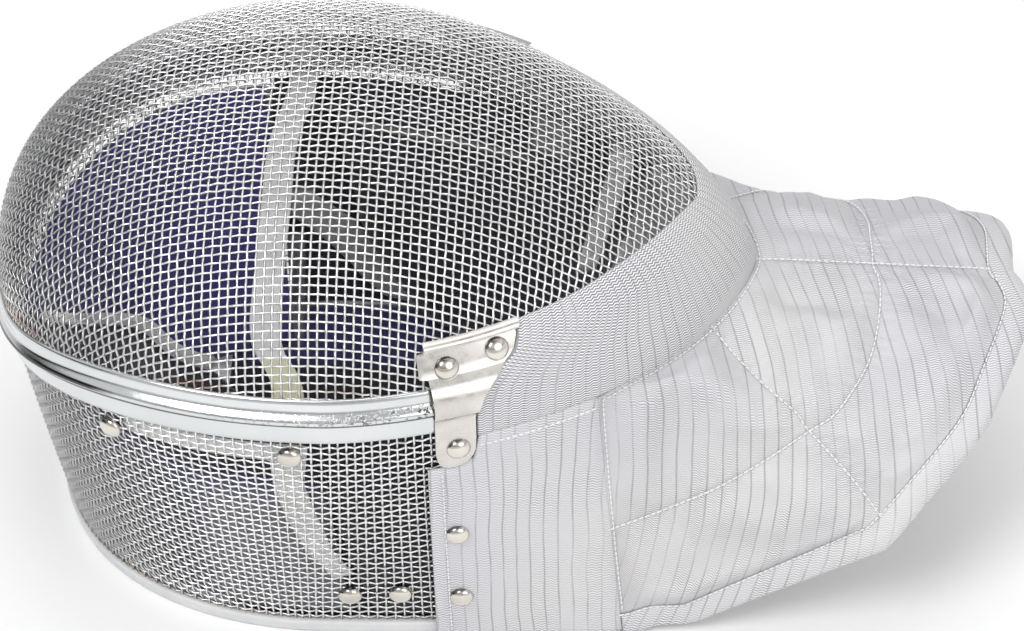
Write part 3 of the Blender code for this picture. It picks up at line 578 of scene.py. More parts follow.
def silver_finish(name, from_uv=False, lean=0.0, dark=0.36, light=0.86, arched=False):
    """Metallised knit: thin dark stripes with fine zigzag rows between them."""
    made, tree, shader = new_material(name)
    source = tree.add("ShaderNodeTexCoord")
    place = source.outputs["Object"]
    warp = noise(tree, place, 14.0, 2.0)
    if from_uv:
        split = tree.add("ShaderNodeSeparateXYZ", source.outputs["UV"])
        along, across = split.outputs[0], split.outputs[1]
        shift = remap(tree, warp, 0.3, 0.7, -0.6 * MM, 0.6 * MM)
    else:
        split = tree.add("ShaderNodeSeparateXYZ", place)
        side = tree.math("ABSOLUTE", split.outputs[1])
        if arched:
            across = tree.add("ShaderNodeSeparateXYZ", source.outputs["UV"]).outputs[0]
        else:
            across = tree.math("MULTIPLY", tree.math("SUBTRACT", split.outputs[2], side), 0.75)
        near = tree.math("MULTIPLY", tree.math("MINIMUM", split.outputs[1], 0.0), 0.7)
        far = tree.math("MULTIPLY", tree.math("MAXIMUM", split.outputs[1], 0.0), 0.5)
        rise = tree.math("ADD", tree.math("MULTIPLY", split.outputs[2], 0.75), tree.math("ADD", near, far))
        rise = tree.math("ADD", rise, 6.0 * MM)
        over = tree.math("MAXIMUM", rise, 0.0)
        under = tree.math("MINIMUM", rise, 0.0)
        up = tree.math("ADD", tree.math("MULTIPLY", tree.math("MULTIPLY", over, over), lean),
                       tree.math("MULTIPLY", tree.math("MULTIPLY", under, under), 2.0 * lean))
        along = tree.math("ADD", split.outputs[0], up)
        shift = remap(tree, warp, 0.3, 0.7, -2.0 * MM, 2.0 * MM)
    run = tree.math("ADD", along, shift)
    stripe_run = tree.math("DIVIDE", run, STRIPE)
    saw = tree.math("FRACT", stripe_run)
    fold = tree.math("ABSOLUTE", tree.math("SUBTRACT", saw, 0.5))
    line = remap(tree, fold, 0.5 - 0.075, 0.5 - 0.03, 0.0, 1.0)
    fade = remap(tree, noise(tree, place, 38.0, 2.0), 0.38, 0.6, 0.35, 1.0)
    line = tree.math("MULTIPLY", line, fade)
    number = tree.math("FLOOR", stripe_run)
    bands = tree.add("ShaderNodeTexWhiteNoise", noise_dimensions="1D")
    tree.tree.links.new(number, bands.inputs["W"])
    wave = tree.math("PINGPONG", tree.math("DIVIDE", run, KNIT_WAVE), 1.0)
    row = tree.math("ADD", tree.math("DIVIDE", across, KNIT_ROW), tree.math("MULTIPLY", wave, 0.6))
    rib = tree.math("SINE", tree.math("MULTIPLY", row, 6.2832))
    patch = noise(tree, place, 46.0, 3.0)
    depth = remap(tree, patch, 0.36, 0.62, 0.85 if from_uv else 0.25, 1.0)
    depth = tree.math("MULTIPLY", depth, remap(tree, bands.outputs[0], 0.0, 1.0, 0.8 if from_uv else 0.45, 1.0))
    if lean:
        depth = tree.math("MULTIPLY", depth, remap(tree, rise, 12.0 * MM, -22.0 * MM, 1.0, 1.7))
    knit = tree.math("MULTIPLY", rib, depth)
    if from_uv:
        chin = remap(tree, tree.add("ShaderNodeSeparateXYZ", place).outputs[0], 50.0 * MM, 80.0 * MM, 0.0, 1.0)
        plain = remap(tree, across, tree.math("MULTIPLY", chin, 9.0 * MM), tree.math("MULTIPLY", chin, 10.5 * MM), 0.8, 0.0)
        knit = tree.math("MULTIPLY", knit, tree.math("SUBTRACT", 1.0, plain))
        line = tree.math("MULTIPLY", line, tree.math("SUBTRACT", 1.0, plain))
    tone = remap(tree, knit, -1.0, 1.0, 0.0, 1.0)
    yarn = mix_colour(tree, tone, (dark, dark, dark * 1.1), (light, light * 0.99, light * 1.02))
    warm = remap(tree, noise(tree, place, 9.0, 2.0), 0.45, 0.65, 0.0, 0.35)
    tint = mix_colour(tree, warm, yarn, (0.68, 0.66, 0.63))
    striped = mix_colour(tree, tree.math("MULTIPLY", line, 0.6), tint, (0.26, 0.26, 0.29))
    tree.tree.links.new(striped, shader.inputs["Base Color"])
    shader.inputs["Metallic"].default_value = 0.2
    shader.inputs["Roughness"].default_value = 0.55
    height = tree.math("SUBTRACT", knit, tree.math("MULTIPLY", line, 1.5))
    bump(tree, shader, height, 0.15 * MM, 0.6)
    return made


def cloth_finish(name, dark, light, pitch, rough=0.9, others=()):
    """Plain woven cloth or tape; others are further colours (on the blue pad they are painted light and shade), each
    with the axes, starts and ends of its part.
    """
    made, tree, shader = new_material(name)
    place = tree.add("ShaderNodeTexCoord").outputs["Object"]
    split = tree.add("ShaderNodeSeparateXYZ", place)
    weave = tree.math("ADD",
                      tree.math("SINE", tree.math("MULTIPLY", split.outputs[0], 6.2832 / pitch)),
                      tree.math("SINE", tree.math("MULTIPLY", split.outputs[2], 6.2832 / pitch)))
    soft = noise(tree, place, 55.0, 4.0)
    tone = ramp(tree, soft, [(0.3, dark), (0.7, light)])
    slant = tree.math("SUBTRACT", split.outputs[0], tree.math("MULTIPLY", split.outputs[2], 0.2))
    runs = (*split.outputs, slant)
    for colour, limits in others:
        share = None
        for axis, start, full in limits:
            part = remap(tree, runs[axis], start * MM, full * MM, 0.0, 1.0)
            share = part if share is None else tree.math("MULTIPLY", share, part)
        tone = mix_colour(tree, share, tone, colour)
    tree.tree.links.new(tone, shader.inputs["Base Color"])
    shader.inputs["Roughness"].default_value = rough
    shader.inputs["Sheen Weight"].default_value = 0.3
    shader.inputs["Sheen Roughness"].default_value = 0.5
    bump(tree, shader, weave, 0.15 * MM, 0.5)
    return made


FINISHES = {}


def finish_of(name):
    """The named material, made the first time it is asked for."""
    makers = {
        "wire": wire_finish,
        "chrome": chrome_finish,
        "plate": lambda: plate_finish("bracket_plate", (0.52, 0.495, 0.465), (0.78, 0.75, 0.715), 0.2, 0.36),
        # rivets carry a painted dark reflection on their tops
        "rivet": lambda: plate_finish("rivet_nickel", (0.60, 0.57, 0.51), (0.76, 0.73, 0.67), 0.10, 0.22, painted_top_reflection=0.1),
        "trim": trim_finish,
        "silver": lambda: silver_finish("silver_cloth", dark=0.29, light=0.88),
        "silver_hem": lambda: silver_finish("silver_hem", lean=2.4, dark=0.3),
        "silver_bib": lambda: silver_finish("silver_bib", lean=2.4, arched=True, dark=0.24),
        "silver_strip": lambda: silver_finish("silver_strip", from_uv=True, dark=0.12, light=1.0),
        "thread": lambda: cloth_finish("white_thread", (0.80, 0.80, 0.80), (0.92, 0.92, 0.92), 0.4 * MM),
        "blue": lambda: cloth_finish(
            "blue_cloth", (0.05, 0.045, 0.20), (0.085, 0.075, 0.28), 0.9 * MM,
            # painted shade: dark navy on the upper part of the near half
            others=(((0.015, 0.014, 0.03), ((1, -8.0, -22.0), (2, 64.0, 74.0))),
                    # painted light: light grey on the lower part of the near half, away from the crown
                    ((0.24, 0.24, 0.26), ((1, -30.0, -50.0), (2, 72.0, 58.0), (0, -122.0, -104.0))),
                    # painted shade: near black on the lower part of the near half, towards the crown
                    ((0.03, 0.03, 0.045), ((1, -8.0, -22.0), (2, 72.0, 58.0), (0, -104.0, -122.0))))),
        "dark": lambda: cloth_finish(
            "dark_cloth", (0.010, 0.010, 0.014), (0.02, 0.02, 0.032), 0.9 * MM,
            others=(((0.04, 0.035, 0.14), ((1, 47.0, 54.0), (2, 9.0, 8.0))),
                    ((0.20, 0.20, 0.20), ((1, 30.0, 40.0), (2, 95.4, 96.4), (2, 99.0, 98.0), (0, 10.0, 2.0))),
                    ((0.34, 0.34, 0.33), ((1, 60.0, 70.0), (0, -85.0, -87.0), (2, 41.0, 38.0))),
                    ((0.22, 0.22, 0.22), ((1, 30.0, 40.0), (2, 100.0, 104.0), (0, 4.0, 7.0), (0, 23.0, 19.0))),
                    ((0.80, 0.80, 0.79), ((1, 30.0, 40.0), (2, 42.0, 50.0), (3, 13.6, 14.6), (3, 22.6, 21.6))))),
        "tape": lambda: cloth_finish(
            "light_tape", (0.72, 0.72, 0.71), (0.88, 0.88, 0.87), 0.8 * MM,
            others=(((0.02, 0.02, 0.035), ((1, 20.0, 30.0), (0, -99.0, -96.0), (2, 58.0, 62.0))),
                    ((0.40, 0.40, 0.40), ((1, 20.0, 30.0), (2, 60.0, 56.0))),
                    ((0.36, 0.36, 0.37), ((1, 0.0, -6.0), (2, 108.8, 109.6))))),
        "strap": lambda: cloth_finish(
            "brow_webbing", (0.62, 0.62, 0.62), (0.78, 0.78, 0.77), 0.8 * MM,
            others=(((0.72, 0.71, 0.50), ((1, -62.0, -64.0),)),)),
    }
    if name not in FINISHES:
        FINISHES[name] = makers[name]()
    return FINISHES[name]


# ---- weave

def dome_value(points):
    """0 on the shell, positive outside it, for points of any shape (..., xyz)."""
    x, y, z = points[..., 0], points[..., 1], points[..., 2]
    crown = x < MIDDLE_X
    power = np.where(crown, CROWN_PLAN_POWER, CHIN_PLAN_POWER)
    reach = np.where(crown, CROWN_REACH, CHIN_REACH)
    a = np.abs(x - MIDDLE_X) / reach
    b = np.abs(y) / HALF_WIDTH
    total = a**power + b**power + 1e-12
    c2 = a**power / total
    wide = WIDE_Z + np.where(crown, CROWN_WIDE_LIFT * c2**1.5, 0.0)
    low = np.clip((wide - z) / wide, 0.0, 1.0) ** UNDERCUT_POWER
    rim_reach = np.where(crown, RIM_CROWN_REACH, RIM_JAW_REACH)
    middle = MIDDLE_X * (1.0 - low) + RIM_MIDDLE_X * low
    a = np.abs(x - middle) / (reach * (1.0 - low) + rim_reach * low)
    b = np.abs(y) / (HALF_WIDTH * (1.0 - low) + RIM_HALF_WIDTH * low)
    share = (a**power + b**power + 1e-12) ** (1.0 / power)
    arc = SIDE_ARC_POWER + (np.where(crown, CROWN_ARC_POWER, CHIN_ARC_POWER) - SIDE_ARC_POWER) * c2
    rise = np.clip((z - wide) / (TOP_Z - wide), 0.0, 2.0)
    return share**arc + rise**arc - 1.0


def dome_slope(points):
    """Gradient of dome_value."""
    step = 0.02 * MM
    slope = np.zeros_like(points)
    for k in range(3):
        move = np.zeros(3)
        move[k] = step
        slope[..., k] = (dome_value(points + move) - dome_value(points - move)) / (2.0 * step)
    return slope


def next_crossing(a, b, guess, pitch):
    """Points on the shell at pitch from a and from b, near guess."""
    p = guess.copy()
    for _ in range(8):
        fa = ((p - a) ** 2).sum(-1) - pitch**2
        fb = ((p - b) ** 2).sum(-1) - pitch**2
        fs = dome_value(p)
        rows = np.stack([2.0 * (p - a), 2.0 * (p - b), dome_slope(p)], -2)
        value = np.stack([fa, fb, fs], -1)
        rows += np.eye(3) * 1e-9
        move = np.linalg.solve(rows, value[..., None])[..., 0]
        size = np.linalg.norm(move, axis=-1, keepdims=True)
        p -= move * np.minimum(1.0, 0.5 * pitch / np.maximum(size, 1e-12))
    return p


def run_line(start, direction, side_plane, pitch, count):
    """Points pitch apart on the shell along a plane: side_plane is the coordinate that stays."""
    line = [np.array(start, float)]
    heading = np.array(direction, float)
    for _ in range(count):
        last = line[-1]
        p = last + heading * pitch
        for _ in range(8):
            slope = dome_slope(p)
            rows = np.array([2.0 * (p - last), slope, np.eye(3)[side_plane]])
            value = np.array([((p - last) ** 2).sum() - pitch**2, dome_value(p), p[side_plane] - start[side_plane]])
            p = p - np.linalg.solve(rows + np.eye(3) * 1e-12, value)
        heading = (p - last) / pitch
        line.append(p)
    return np.array(line)


def face_net(pitch, long_count, wide_count):
    """Crossings of an even square net laid over the dome from its middle lines (i along X, j across)."""
    top = np.array([MIDDLE_X + 6.0 * MM, 0.0, TOP_Z])
    forward = run_line(top, (1.0, 0.0, 0.0), 1, pitch, long_count)
    back = run_line(top, (-1.0, 0.0, 0.0), 1, pitch, long_count)
    spine = np.concatenate([back[:0:-1], forward])
    middle = long_count
    side = run_line(top, (0.0, 1.0, 0.0), 0, pitch, wide_count)
    count = len(spine)
    net = np.full((count, wide_count + 1, 3), np.nan)
    net[:, 0] = spine
    net[middle] = side
    for way in (1, -1):
        for total in range(2, long_count + wide_count + 1):
            i = np.arange(max(1, total - wide_count), min(long_count, total - 1) + 1)
            if len(i) == 0:
                continue
            j = total - i
            ii = middle + way * i
            a = net[ii - way, j]
            b = net[ii, j - 1]
            c = net[ii - way, j - 1]
            good = np.isfinite(a).all(-1) & np.isfinite(b).all(-1)
            spread = np.linalg.norm(a - b, axis=-1)
            good &= (spread < 1.985 * pitch) & (spread > 0.25 * pitch)
            if not good.any():
                continue
            p = next_crossing(a[good], b[good], a[good] + b[good] - c[good], pitch)
            fine = (np.abs(dome_value(p)) < 1e-4) & (np.abs(np.linalg.norm(p - a[good], axis=-1) - pitch) < 1e-5)
            fine &= p[:, 2] > 85.0 * MM
            p[~fine] = np.nan
            net[ii[good], j[good]] = p
    near = net[:, :0:-1] * np.array([1.0, -1.0, 1.0])
    return np.concatenate([near, net], 1)


def angle_of(points):
    """Angle round the head of points on the dome."""
    crown = points[..., 0] < MIDDLE_X
    power = np.where(crown, CROWN_PLAN_POWER, CHIN_PLAN_POWER)
    reach = np.where(crown, CROWN_REACH, CHIN_REACH)
    c = (np.abs(points[..., 0] - MIDDLE_X) / reach) ** (power / 2.0)
    s = (np.abs(points[..., 1]) / HALF_WIDTH) ** (power / 2.0)
    return np.degrees(np.arctan2(s * np.sign(points[..., 1]), np.where(crown, c, -c)))


def wires(name, crossings, normals, keep, along, parity, finish, radius, crimp):
    """One family of wires: lines along the given axis of the net, woven over and under."""
    if along == 1:
        crossings, normals, keep = (np.swapaxes(v, 0, 1) for v in (crossings, normals, keep))
    lines = []
    lifts = []
    count = crossings.shape[0]
    for j in range(crossings.shape[1]):
        i = 0
        while i < count:
            if not keep[i, j]:
                i += 1
                continue
            end = i
            while end + 1 < count and keep[end + 1, j]:
                end += 1
            if end - i >= 2:
                points = crossings[i:end + 1, j]
                out = normals[i:end + 1, j]
                sign = np.where((np.arange(i, end + 1) + j) % 2 == 0, 1.0, -1.0) * parity
                line = np.zeros((2 * len(points) - 1, 3))
                lift = np.zeros_like(line)
                line[::2] = points
                line[1::2] = 0.5 * (points[1:] + points[:-1])
                lift[::2] = out * sign[:, None]
                lines.append(line)
                lifts.append(lift)
            i = end + 1
    obj = path_mesh(name, lines, [("crimp", "FLOAT_VECTOR", np.concatenate(lifts))])
    values = {"Wire Radius": radius, "Crimp": crimp, "Sides": 4, "Material": finish}
    group = bpy.data.node_groups.get("Woven wire") or wire_tree()
    return bake(obj, group, values)


def settle(obj, slot, *nodes):
    """Rides the piece on the body and hides the imported parts it stands for; slot is not used."""
    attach(obj, "root")
    if nodes:
        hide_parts(*nodes)
    return obj


class MaskWire(bpy.types.PropertyGroup):
    pitch: bpy.props.FloatProperty(
        name="Pitch", description="Distance between wires", default=3.1 * MM, unit="LENGTH")
    thickness: bpy.props.FloatProperty(
        name="Wire thickness", description="Diameter of the wire", default=0.9 * MM, unit="LENGTH")


class MASK_OT_face_weave(bpy.types.Operator):
    """Weaves the wire over the face"""
    bl_idname = "mask.face_weave"
    bl_label = "Face weave"

    def execute(self, context):
        wire = context.scene.mask_wire
        net = face_net(wire.pitch, 62, 52)
        angle = angle_of(net)
        finite = np.isfinite(net).all(-1)
        z = np.where(finite, net[..., 2], 0.0)
        angle = np.where(finite, angle, 0.0)
        keep = finite & (z > parting_z(angle) + 1.0 * MM)
        out = unit(dome_slope(np.where(finite[..., None], net, 1.0)))
        radius = 0.5 * wire.thickness
        one = wires("face_wires_long", net, out, keep, 0, 1.0, finish_of("wire"), radius, 0.92 * radius)
        two = wires("face_wires_across", net, out, keep, 1, -1.0, finish_of("wire"), radius, 0.92 * radius)
        settle(one, "wire", "face_mesh")
        settle(two, "wire", "face_mesh")
        print("face weave", int(keep.sum()), len(one.data.polygons), len(two.data.polygons))
        return {"FINISHED"}


class MASK_OT_crown_weave(bpy.types.Operator):
    """Weaves the wire of the wall behind the band"""
    bl_idname = "mask.crown_weave"
    bl_label = "Crown weave"

    def execute(self, context):
        wire = context.scene.mask_wire
        fine = np.linspace(-131.6, 131.6, 1200)
        middle = shell(fine, 60.0 * MM)
        length = np.concatenate([[0.0], np.cumsum(np.linalg.norm(np.diff(middle, axis=0), axis=1))])
        columns = int(length[-1] / wire.pitch)
        angle = np.interp(np.linspace(0.0, length[-1], columns), length, fine)
        z = np.arange(4.0 * MM, 126.0 * MM, wire.pitch * 0.985)
        grid_angle, grid_z = np.meshgrid(angle, z, indexing="ij")
        grid_z = grid_z + 0.8 * MM * np.sin(np.radians(grid_angle) * 3.0)
        points, out, _ = shell_frame(grid_angle, grid_z, -0.8 * MM)
        keep = grid_z < parting_z(grid_angle) - 0.5 * MM
        radius = 0.5 * wire.thickness
        one = wires("crown_wires_level", points, out, keep, 0, 1.0, finish_of("wire"), radius, 0.92 * radius)
        two = wires("crown_wires_upright", points, out, keep, 1, -1.0, finish_of("wire"), radius, 0.92 * radius)
        settle(one, "wire", "crown_mesh")
        settle(two, "wire", "crown_mesh")
        print("crown weave", int(keep.sum()), len(one.data.polygons), len(two.data.polygons))
        return {"FINISHED"}


# ---- band, rim, brackets, rivets

BAND_PROFILE = [
    # height, proud (mm)
    (0.0, 0.4), (0.0, 1.1), (0.4, 1.5), (2.0, 1.6), (4.5, 1.6), (7.0, 1.6), (8.3, 1.7), (9.0, 2.3), (9.5, 3.1),
    (10.2, 3.8), (11.0, 4.0), (11.8, 3.8), (12.5, 3.2), (13.1, 2.5), (13.6, 2.0), (14.1, 1.7), (14.8, 1.6),
    (16.6, 1.55), (18.1, 1.5), (18.5, 1.1), (18.5, 0.4),
]


class MASK_OT_brow_band(bpy.types.Operator):
    """Presses the plated band over the join"""
    bl_idname = "mask.brow_band"
    bl_label = "Brow band"

    def execute(self, context):
        angle = np.linspace(-BAND_END, BAND_END, 230)
        profile = np.array(BAND_PROFILE) * MM
        inner = profile[::-1].copy()
        inner[:, 1] = 0.35 * MM
        ring = np.concatenate([profile, inner])
        z = band_low_z(angle)[:, None] + ring[None, :, 0]
        rings = shell(angle[:, None], z, ring[None, :, 1])
        band = sweep("brow_band_plated", rings, finish_of("chrome"), sharp=50.0)
        settle(band, "chrome", "brow_band")
        return {"FINISHED"}


class MASK_OT_rear_rim(bpy.types.Operator):
    """Folds the strip round the rear opening"""
    bl_idname = "mask.rear_rim"
    bl_label = "Rear rim"

    def execute(self, context):
        front = JAW_CORNER + RIM_SIDE_DEGREES
        far = [(a, RIM_HEIGHT, a, 0.0) for a in np.linspace(0.0, JAW_CORNER - 2.0, 90)]
        far.append((JAW_CORNER, RIM_HEIGHT, front, 0.0))
        far += [(JAW_CORNER, z, front, z) for z in np.linspace(10.0 * MM, 92.0 * MM, 30)]
        far.append((JAW_CORNER, seam_z(JAW_CORNER) - 0.3 * MM, front, seam_z(front) - 6.3 * MM))
        far += [(a, seam_z(a) - 0.3 * MM, a, seam_z(a) - 6.3 * MM) for a in np.linspace(front + 1.0, 180.0, 36)]
        far = np.array(far)
        near = far[-2:0:-1] * np.array([-1.0, 1.0, -1.0, 1.0])
        loop = np.concatenate([far, near])
        section = [
            # across the strip, outwards mm
            (0.0, 0.0), (0.0, 0.9), (0.06, 1.25), (0.3, 1.3), (0.7, 1.3), (0.93, 1.2), (1.0, 0.6),
            (1.0, -2.0), (0.93, -2.7), (0.7, -2.8), (0.3, -2.8), (0.06, -2.75), (0.0, -2.4), (0.0, -1.6),
        ]
        part = np.array(section)
        angle = loop[:, :1] + (loop[:, 2:3] - loop[:, :1]) * part[None, :, 0]
        z = loop[:, 1:2] + (loop[:, 3:4] - loop[:, 1:2]) * part[None, :, 0]
        rim = sweep("rear_rim_strip", shell(angle, z, part[None, :, 1] * MM), finish_of("trim"), closed=True, sharp=60.0)
        settle(rim, "trim", "rear_rim")
        return {"FINISHED"}


BRACKET_ROWS = [
    # z mm, rear edge deg, front edge deg, stand-off mm
    (95.6, 110.6, 111.6, 3.1), (96.2, 109.9, 112.6, 3.1), (97.5, 109.4, 113.4, 3.1), (100.0, 109.1, 114.1, 3.1),
    (103.0, 108.9, 114.5, 3.1), (108.0, 108.9, 114.6, 3.1), (113.0, 108.9, 114.6, 3.1), (117.5, 108.9, 114.6, 3.15),
    (119.4, 108.9, 114.7, 3.4), (120.8, 108.85, 114.8, 4.7), (122.2, 108.8, 114.9, 5.9), (124.6, 108.8, 115.2, 6.3),
    (127.0, 108.8, 115.6, 6.3), (129.5, 108.75, 116.3, 6.05), (132.0, 108.7, 117.3, 5.5), (134.0, 108.65, 118.8, 3.9),
    (135.4, 108.6, 119.9, 2.2), (135.8, 107.3, 120.2, 1.9), (139.0, 107.3, 121.7, 1.8), (143.6, 107.3, 122.8, 1.8),
    (143.9, 108.5, 122.7, 1.8), (145.2, 108.5, 122.9, 1.9), (145.6, 108.5, 123.0, 3.4), (146.4, 108.5, 123.3, 3.6),
    (147.4, 108.5, 123.6, 3.4), (147.6, 108.5, 123.7, 2.4),
]


class MASK_OT_brackets(bpy.types.Operator):
    """Bends the temple plates over the ends of the band"""
    bl_idname = "mask.brackets"
    bl_label = "Temple brackets"

    def execute(self, context):
        rows = np.array(BRACKET_ROWS)
        part = np.linspace(0.0, 1.0, 25)
        for key, side in (("near", -1.0), ("far", 1.0)):
            angle = rows[:, 1:2] + (rows[:, 2:3] - rows[:, 1:2]) * part
            z = rows[:, :1] * MM + 0.0 * part
            outer = shell(side * angle, z, rows[:, 3:4] * MM)
            inner = shell(side * angle, z, (rows[:, 3:4] - 1.0) * MM)
            rings = np.concatenate([outer, inner[:, ::-1]], 1)
            plate = sweep(f"bracket_plate_{key}", rings, finish_of("plate"), sharp=60.0)
            trim = plate.modifiers.new("edges", "BEVEL")
            trim.width = 0.28 * MM
            trim.segments = 2
            trim.limit_method = "ANGLE"
            trim.angle_limit = np.radians(60.0)
            settle(plate, "plate", f"bracket_{key}")
        return {"FINISHED"}


RIVETS = [
    # name, angle, height mm, stand-off mm
    ("rivet_bracket_rear", 111.5, 138.2, 1.8),
    ("rivet_bracket_front", 119.2, 140.4, 1.8),
    ("rivet_bracket_low", 112.1, 104.6, 3.1),
    ("rivet_crown_upper_rear", 54.8, 100.6, 0.3),
    ("rivet_crown_upper_front", 86.3, 104.4, 0.3),
    ("rivet_crown_lower_rear", 95.5, 22.8, 0.3),
    ("rivet_crown_lower_front", 103.1, 23.4, 0.3),
    ("rivet_cover_upper", 111.2, 59.6, 3.6),
    ("rivet_cover_lower", 111.2, 24.2, 3.6),
]


class MASK_OT_rivets(bpy.types.Operator):
    """Sets the rivet heads"""
    bl_idname = "mask.rivets"
    bl_label = "Rivets"

    def execute(self, context):
        group = bpy.data.node_groups.get("Rivet heads") or rivet_tree()
        for part, names in (("bracket", "rivet_bracket"), ("mesh", "rivet_crown"), ("cover", "rivet_cover")):
            places = []
            faces = []
            nodes = []
            for key, side in (("near", -1.0), ("far", 1.0)):
                for name, angle, z, stand in RIVETS:
                    if not name.startswith(names):
                        continue
                    here, out, _ = shell_frame(side * angle, z * MM, stand * MM)
                    places.append([here])
                    faces.append(out)
                    nodes.append(f"{name}_{key}")
            obj = path_mesh(f"rivets_{part}", [np.array(p) for p in places],
                            [("out", "FLOAT_VECTOR", np.array(faces))])
            bake(obj, group, {"Radius": 4.4 * MM, "Rise": 2.6 * MM, "Material": finish_of("rivet")})
            settle(obj, "plate", *nodes)
        return {"FINISHED"}


# ---- silver cloth

def bracket_front(z):
    rows = np.array(BRACKET_ROWS)
    return np.interp(z, rows[:, 0] * MM, rows[:, 2])


def tuck_z(angle):
    """How far the bib's cloth laps up over the strip, towards the chin."""
    return 5.0 * MM * smooth(np.abs(angle), 138.0, 172.0)


class MASK_OT_jaw_strip(bpy.types.Operator):
    """Sews the cloth binding along the edge of the face weave"""
    bl_idname = "mask.jaw_strip"
    bl_label = "Jaw strip"

    def execute(self, context):
        profile = np.array([
            # share of the height, lift mm
            (0.0, 0.2), (0.0, 2.4), (0.02, 2.9), (0.06, 3.1), (0.11, 3.2), (0.2, 3.25), (0.35, 3.3), (0.5, 3.3),
            (0.65, 3.2), (0.8, 3.0), (0.9, 2.8), (0.95, 2.5), (0.985, 2.0), (1.0, 1.4), (1.0, 0.8),
        ])
        inner = profile[::-1].copy()
        inner[:, 1] = 0.75
        ring = np.concatenate([profile, inner])
        loop = []
        for part in np.linspace(-1.0, 1.0, 241):
            share = ring[:, 0]
            start = bracket_front(SEAM_Z + share * (STRIP_TOP_Z - SEAM_Z)) + 0.25
            angle = (180.0 + (start - 180.0) * abs(part)) * (-1.0 if part < 0.0 else 1.0)
            foot = seam_z(angle) + tuck_z(angle)
            z = foot + share * (strip_top_z(angle) - foot) + 0.3 * MM * (1.0 - share)
            loop.append(np.stack([angle, z, ring[:, 1] * MM], -1))
        loop = np.array(loop)
        rings = shell(loop[..., 0], loop[..., 1], loop[..., 2])
        strip = sweep("jaw_strip_cloth", rings, finish_of("silver_strip"))
        settle(strip, "silver_cloth", "jaw_strip")
        return {"FINISHED"}


COVER_TOP = np.array([
    # angle deg, z mm
    [107.7, 94.9], [112.0, 95.1], [114.3, 98.5], [114.9, 107.7], [132.0, 107.7],
])


class MASK_OT_side_covers(bpy.types.Operator):
    """Lays the cloth over the side walls"""
    bl_idname = "mask.side_covers"
    bl_label = "Side covers"

    def execute(self, context):
        for key, side in (("near", -1.0), ("far", 1.0)):
            share = np.concatenate([[0.0, 0.004], np.linspace(0.015, 0.985, 60), [0.996, 1.0]])
            angle = COVER_TOP[0, 0] + (JAW_CORNER + 0.58 - COVER_TOP[0, 0]) * share
            top = np.interp(angle, COVER_TOP[:, 0], COVER_TOP[:, 1]) * MM
            top += 1.4 * MM * smooth(angle, 114.9, 116.0)
            level = np.concatenate([[0.0, 0.006], np.linspace(0.02, 0.98, 50), [0.994, 1.0]])
            z = top[:, None] * level[None, :]
            lift = COVER_OFFSET + CLOTH * (0.35 + 0.65 * smooth(level, 0.0, 0.02) * (1.0 - smooth(level, 0.985, 1.0)))
            lift = lift[None, :] + 0.0 * z
            dent = np.exp(-((angle - 110.6) / 1.2) ** 2)[:, None]
            lift -= 0.5 * MM * dent
            lift -= 0.7 * MM * np.exp(-((angle - JAW_CORNER - 0.6) / 0.9) ** 2)[:, None]
            lift += 0.5 * MM * smooth(angle, 112.0, 117.0)[:, None] * np.sin(np.pi * level)[None, :]
            outer = shell(side * angle[:, None], z, lift)
            inner = shell(side * angle[:, None], z, COVER_OFFSET)
            cover = sweep(f"side_cover_cloth_{key}", np.concatenate([outer, inner[:, ::-1]], 1), finish_of("silver"))
            settle(cover, "silver_cloth", f"side_cover_{key}")
        return {"FINISHED"}


BIB_THICKNESS = 5.0 * MM
BIB_HALF_WIDTH = 88.0 * MM
BIB_HEIGHT = 103.7 * MM
BIB_ARCH_POWER = 2.15
BIB_CORNER_U = 0.55
BIB_CLEARANCE_DEGREES = 0.6
BIB_SEAM_FOOT_Z = 9.8 * MM
BIB_FLOOR_SHARE = 0.26
BIB_NEAR_WAIST = 5.5 * MM
BIB_FAR_WAIST = 6.2 * MM
BIB_LEAN = 4.0 * MM
PUFF = 5.5 * MM
PUFF_WIDTH = 13.0 * MM
HEM_WIDTH = 9.0 * MM
SEAM_LIFT = 3.4 * MM
CORNER_STEPS = (-0.06, -0.045, -0.03, -0.015, 0.0, 0.015, 0.03, 0.045, 0.06)
HEM_ROWS = np.array([
    # arch deg, negative near, and x mm
    [-62.0, 140.0], [-57.0, 147.0], [-52.0, 153.5], [-44.0, 164.0], [-36.0, 173.2], [-26.0, 180.0],
    [-15.0, 186.8], [-9.0, 188.9], [-4.0, 187.0], [0.0, 183.8], [15.0, 184.5], [26.0, 181.0], [36.0, 174.0],
    [44.0, 166.0], [52.0, 156.0], [57.0, 148.0], [62.0, 140.0],
])
# Quilting seams of one half of the bib: across (0 middle, 1 lower edge) and forward (0 jaw, 1 hem)
MIDDLE_SEAM = [(0.0, 0.0), (0.0, 1.0)]
LONG_SEAM = [
    (0.0, 0.50), (0.16, 0.525), (0.38, 0.622), (0.50, 0.652), (0.583, 0.64),
    (0.63, 0.585), (0.70, 0.483), (0.758, 0.35), (0.79, 0.20), (0.82, 0.0),
]
CROSS_SEAM = [(0.29, 0.0), (0.46, 0.33), (0.57, 0.52), (0.63, 0.585), (0.80, 0.80), (0.955, 1.0)]


def seam_line(side_share, offset):
    """The bib's seam on the shell: 0 at the chin, along the jaw to its corner, then down to 1."""
    reach = np.abs(side_share)
    jaw = np.clip(reach / BIB_CORNER_U, 0.0, 1.0)
    down = np.clip((reach - BIB_CORNER_U) / (1.0 - BIB_CORNER_U), 0.0, 1.0)
    angle = 180.0 - (180.0 - JAW_CORNER - BIB_CLEARANCE_DEGREES) * jaw
    lap = 1.6 * MM * smooth(jaw, 1.0, 0.9)
    z = seam_z(angle) + tuck_z(angle) + lap - 0.1 * MM - (seam_z(angle) - BIB_SEAM_FOOT_Z) * down
    side = np.where(side_share < 0.0, -1.0, 1.0)
    return shell(angle * side, z, offset)


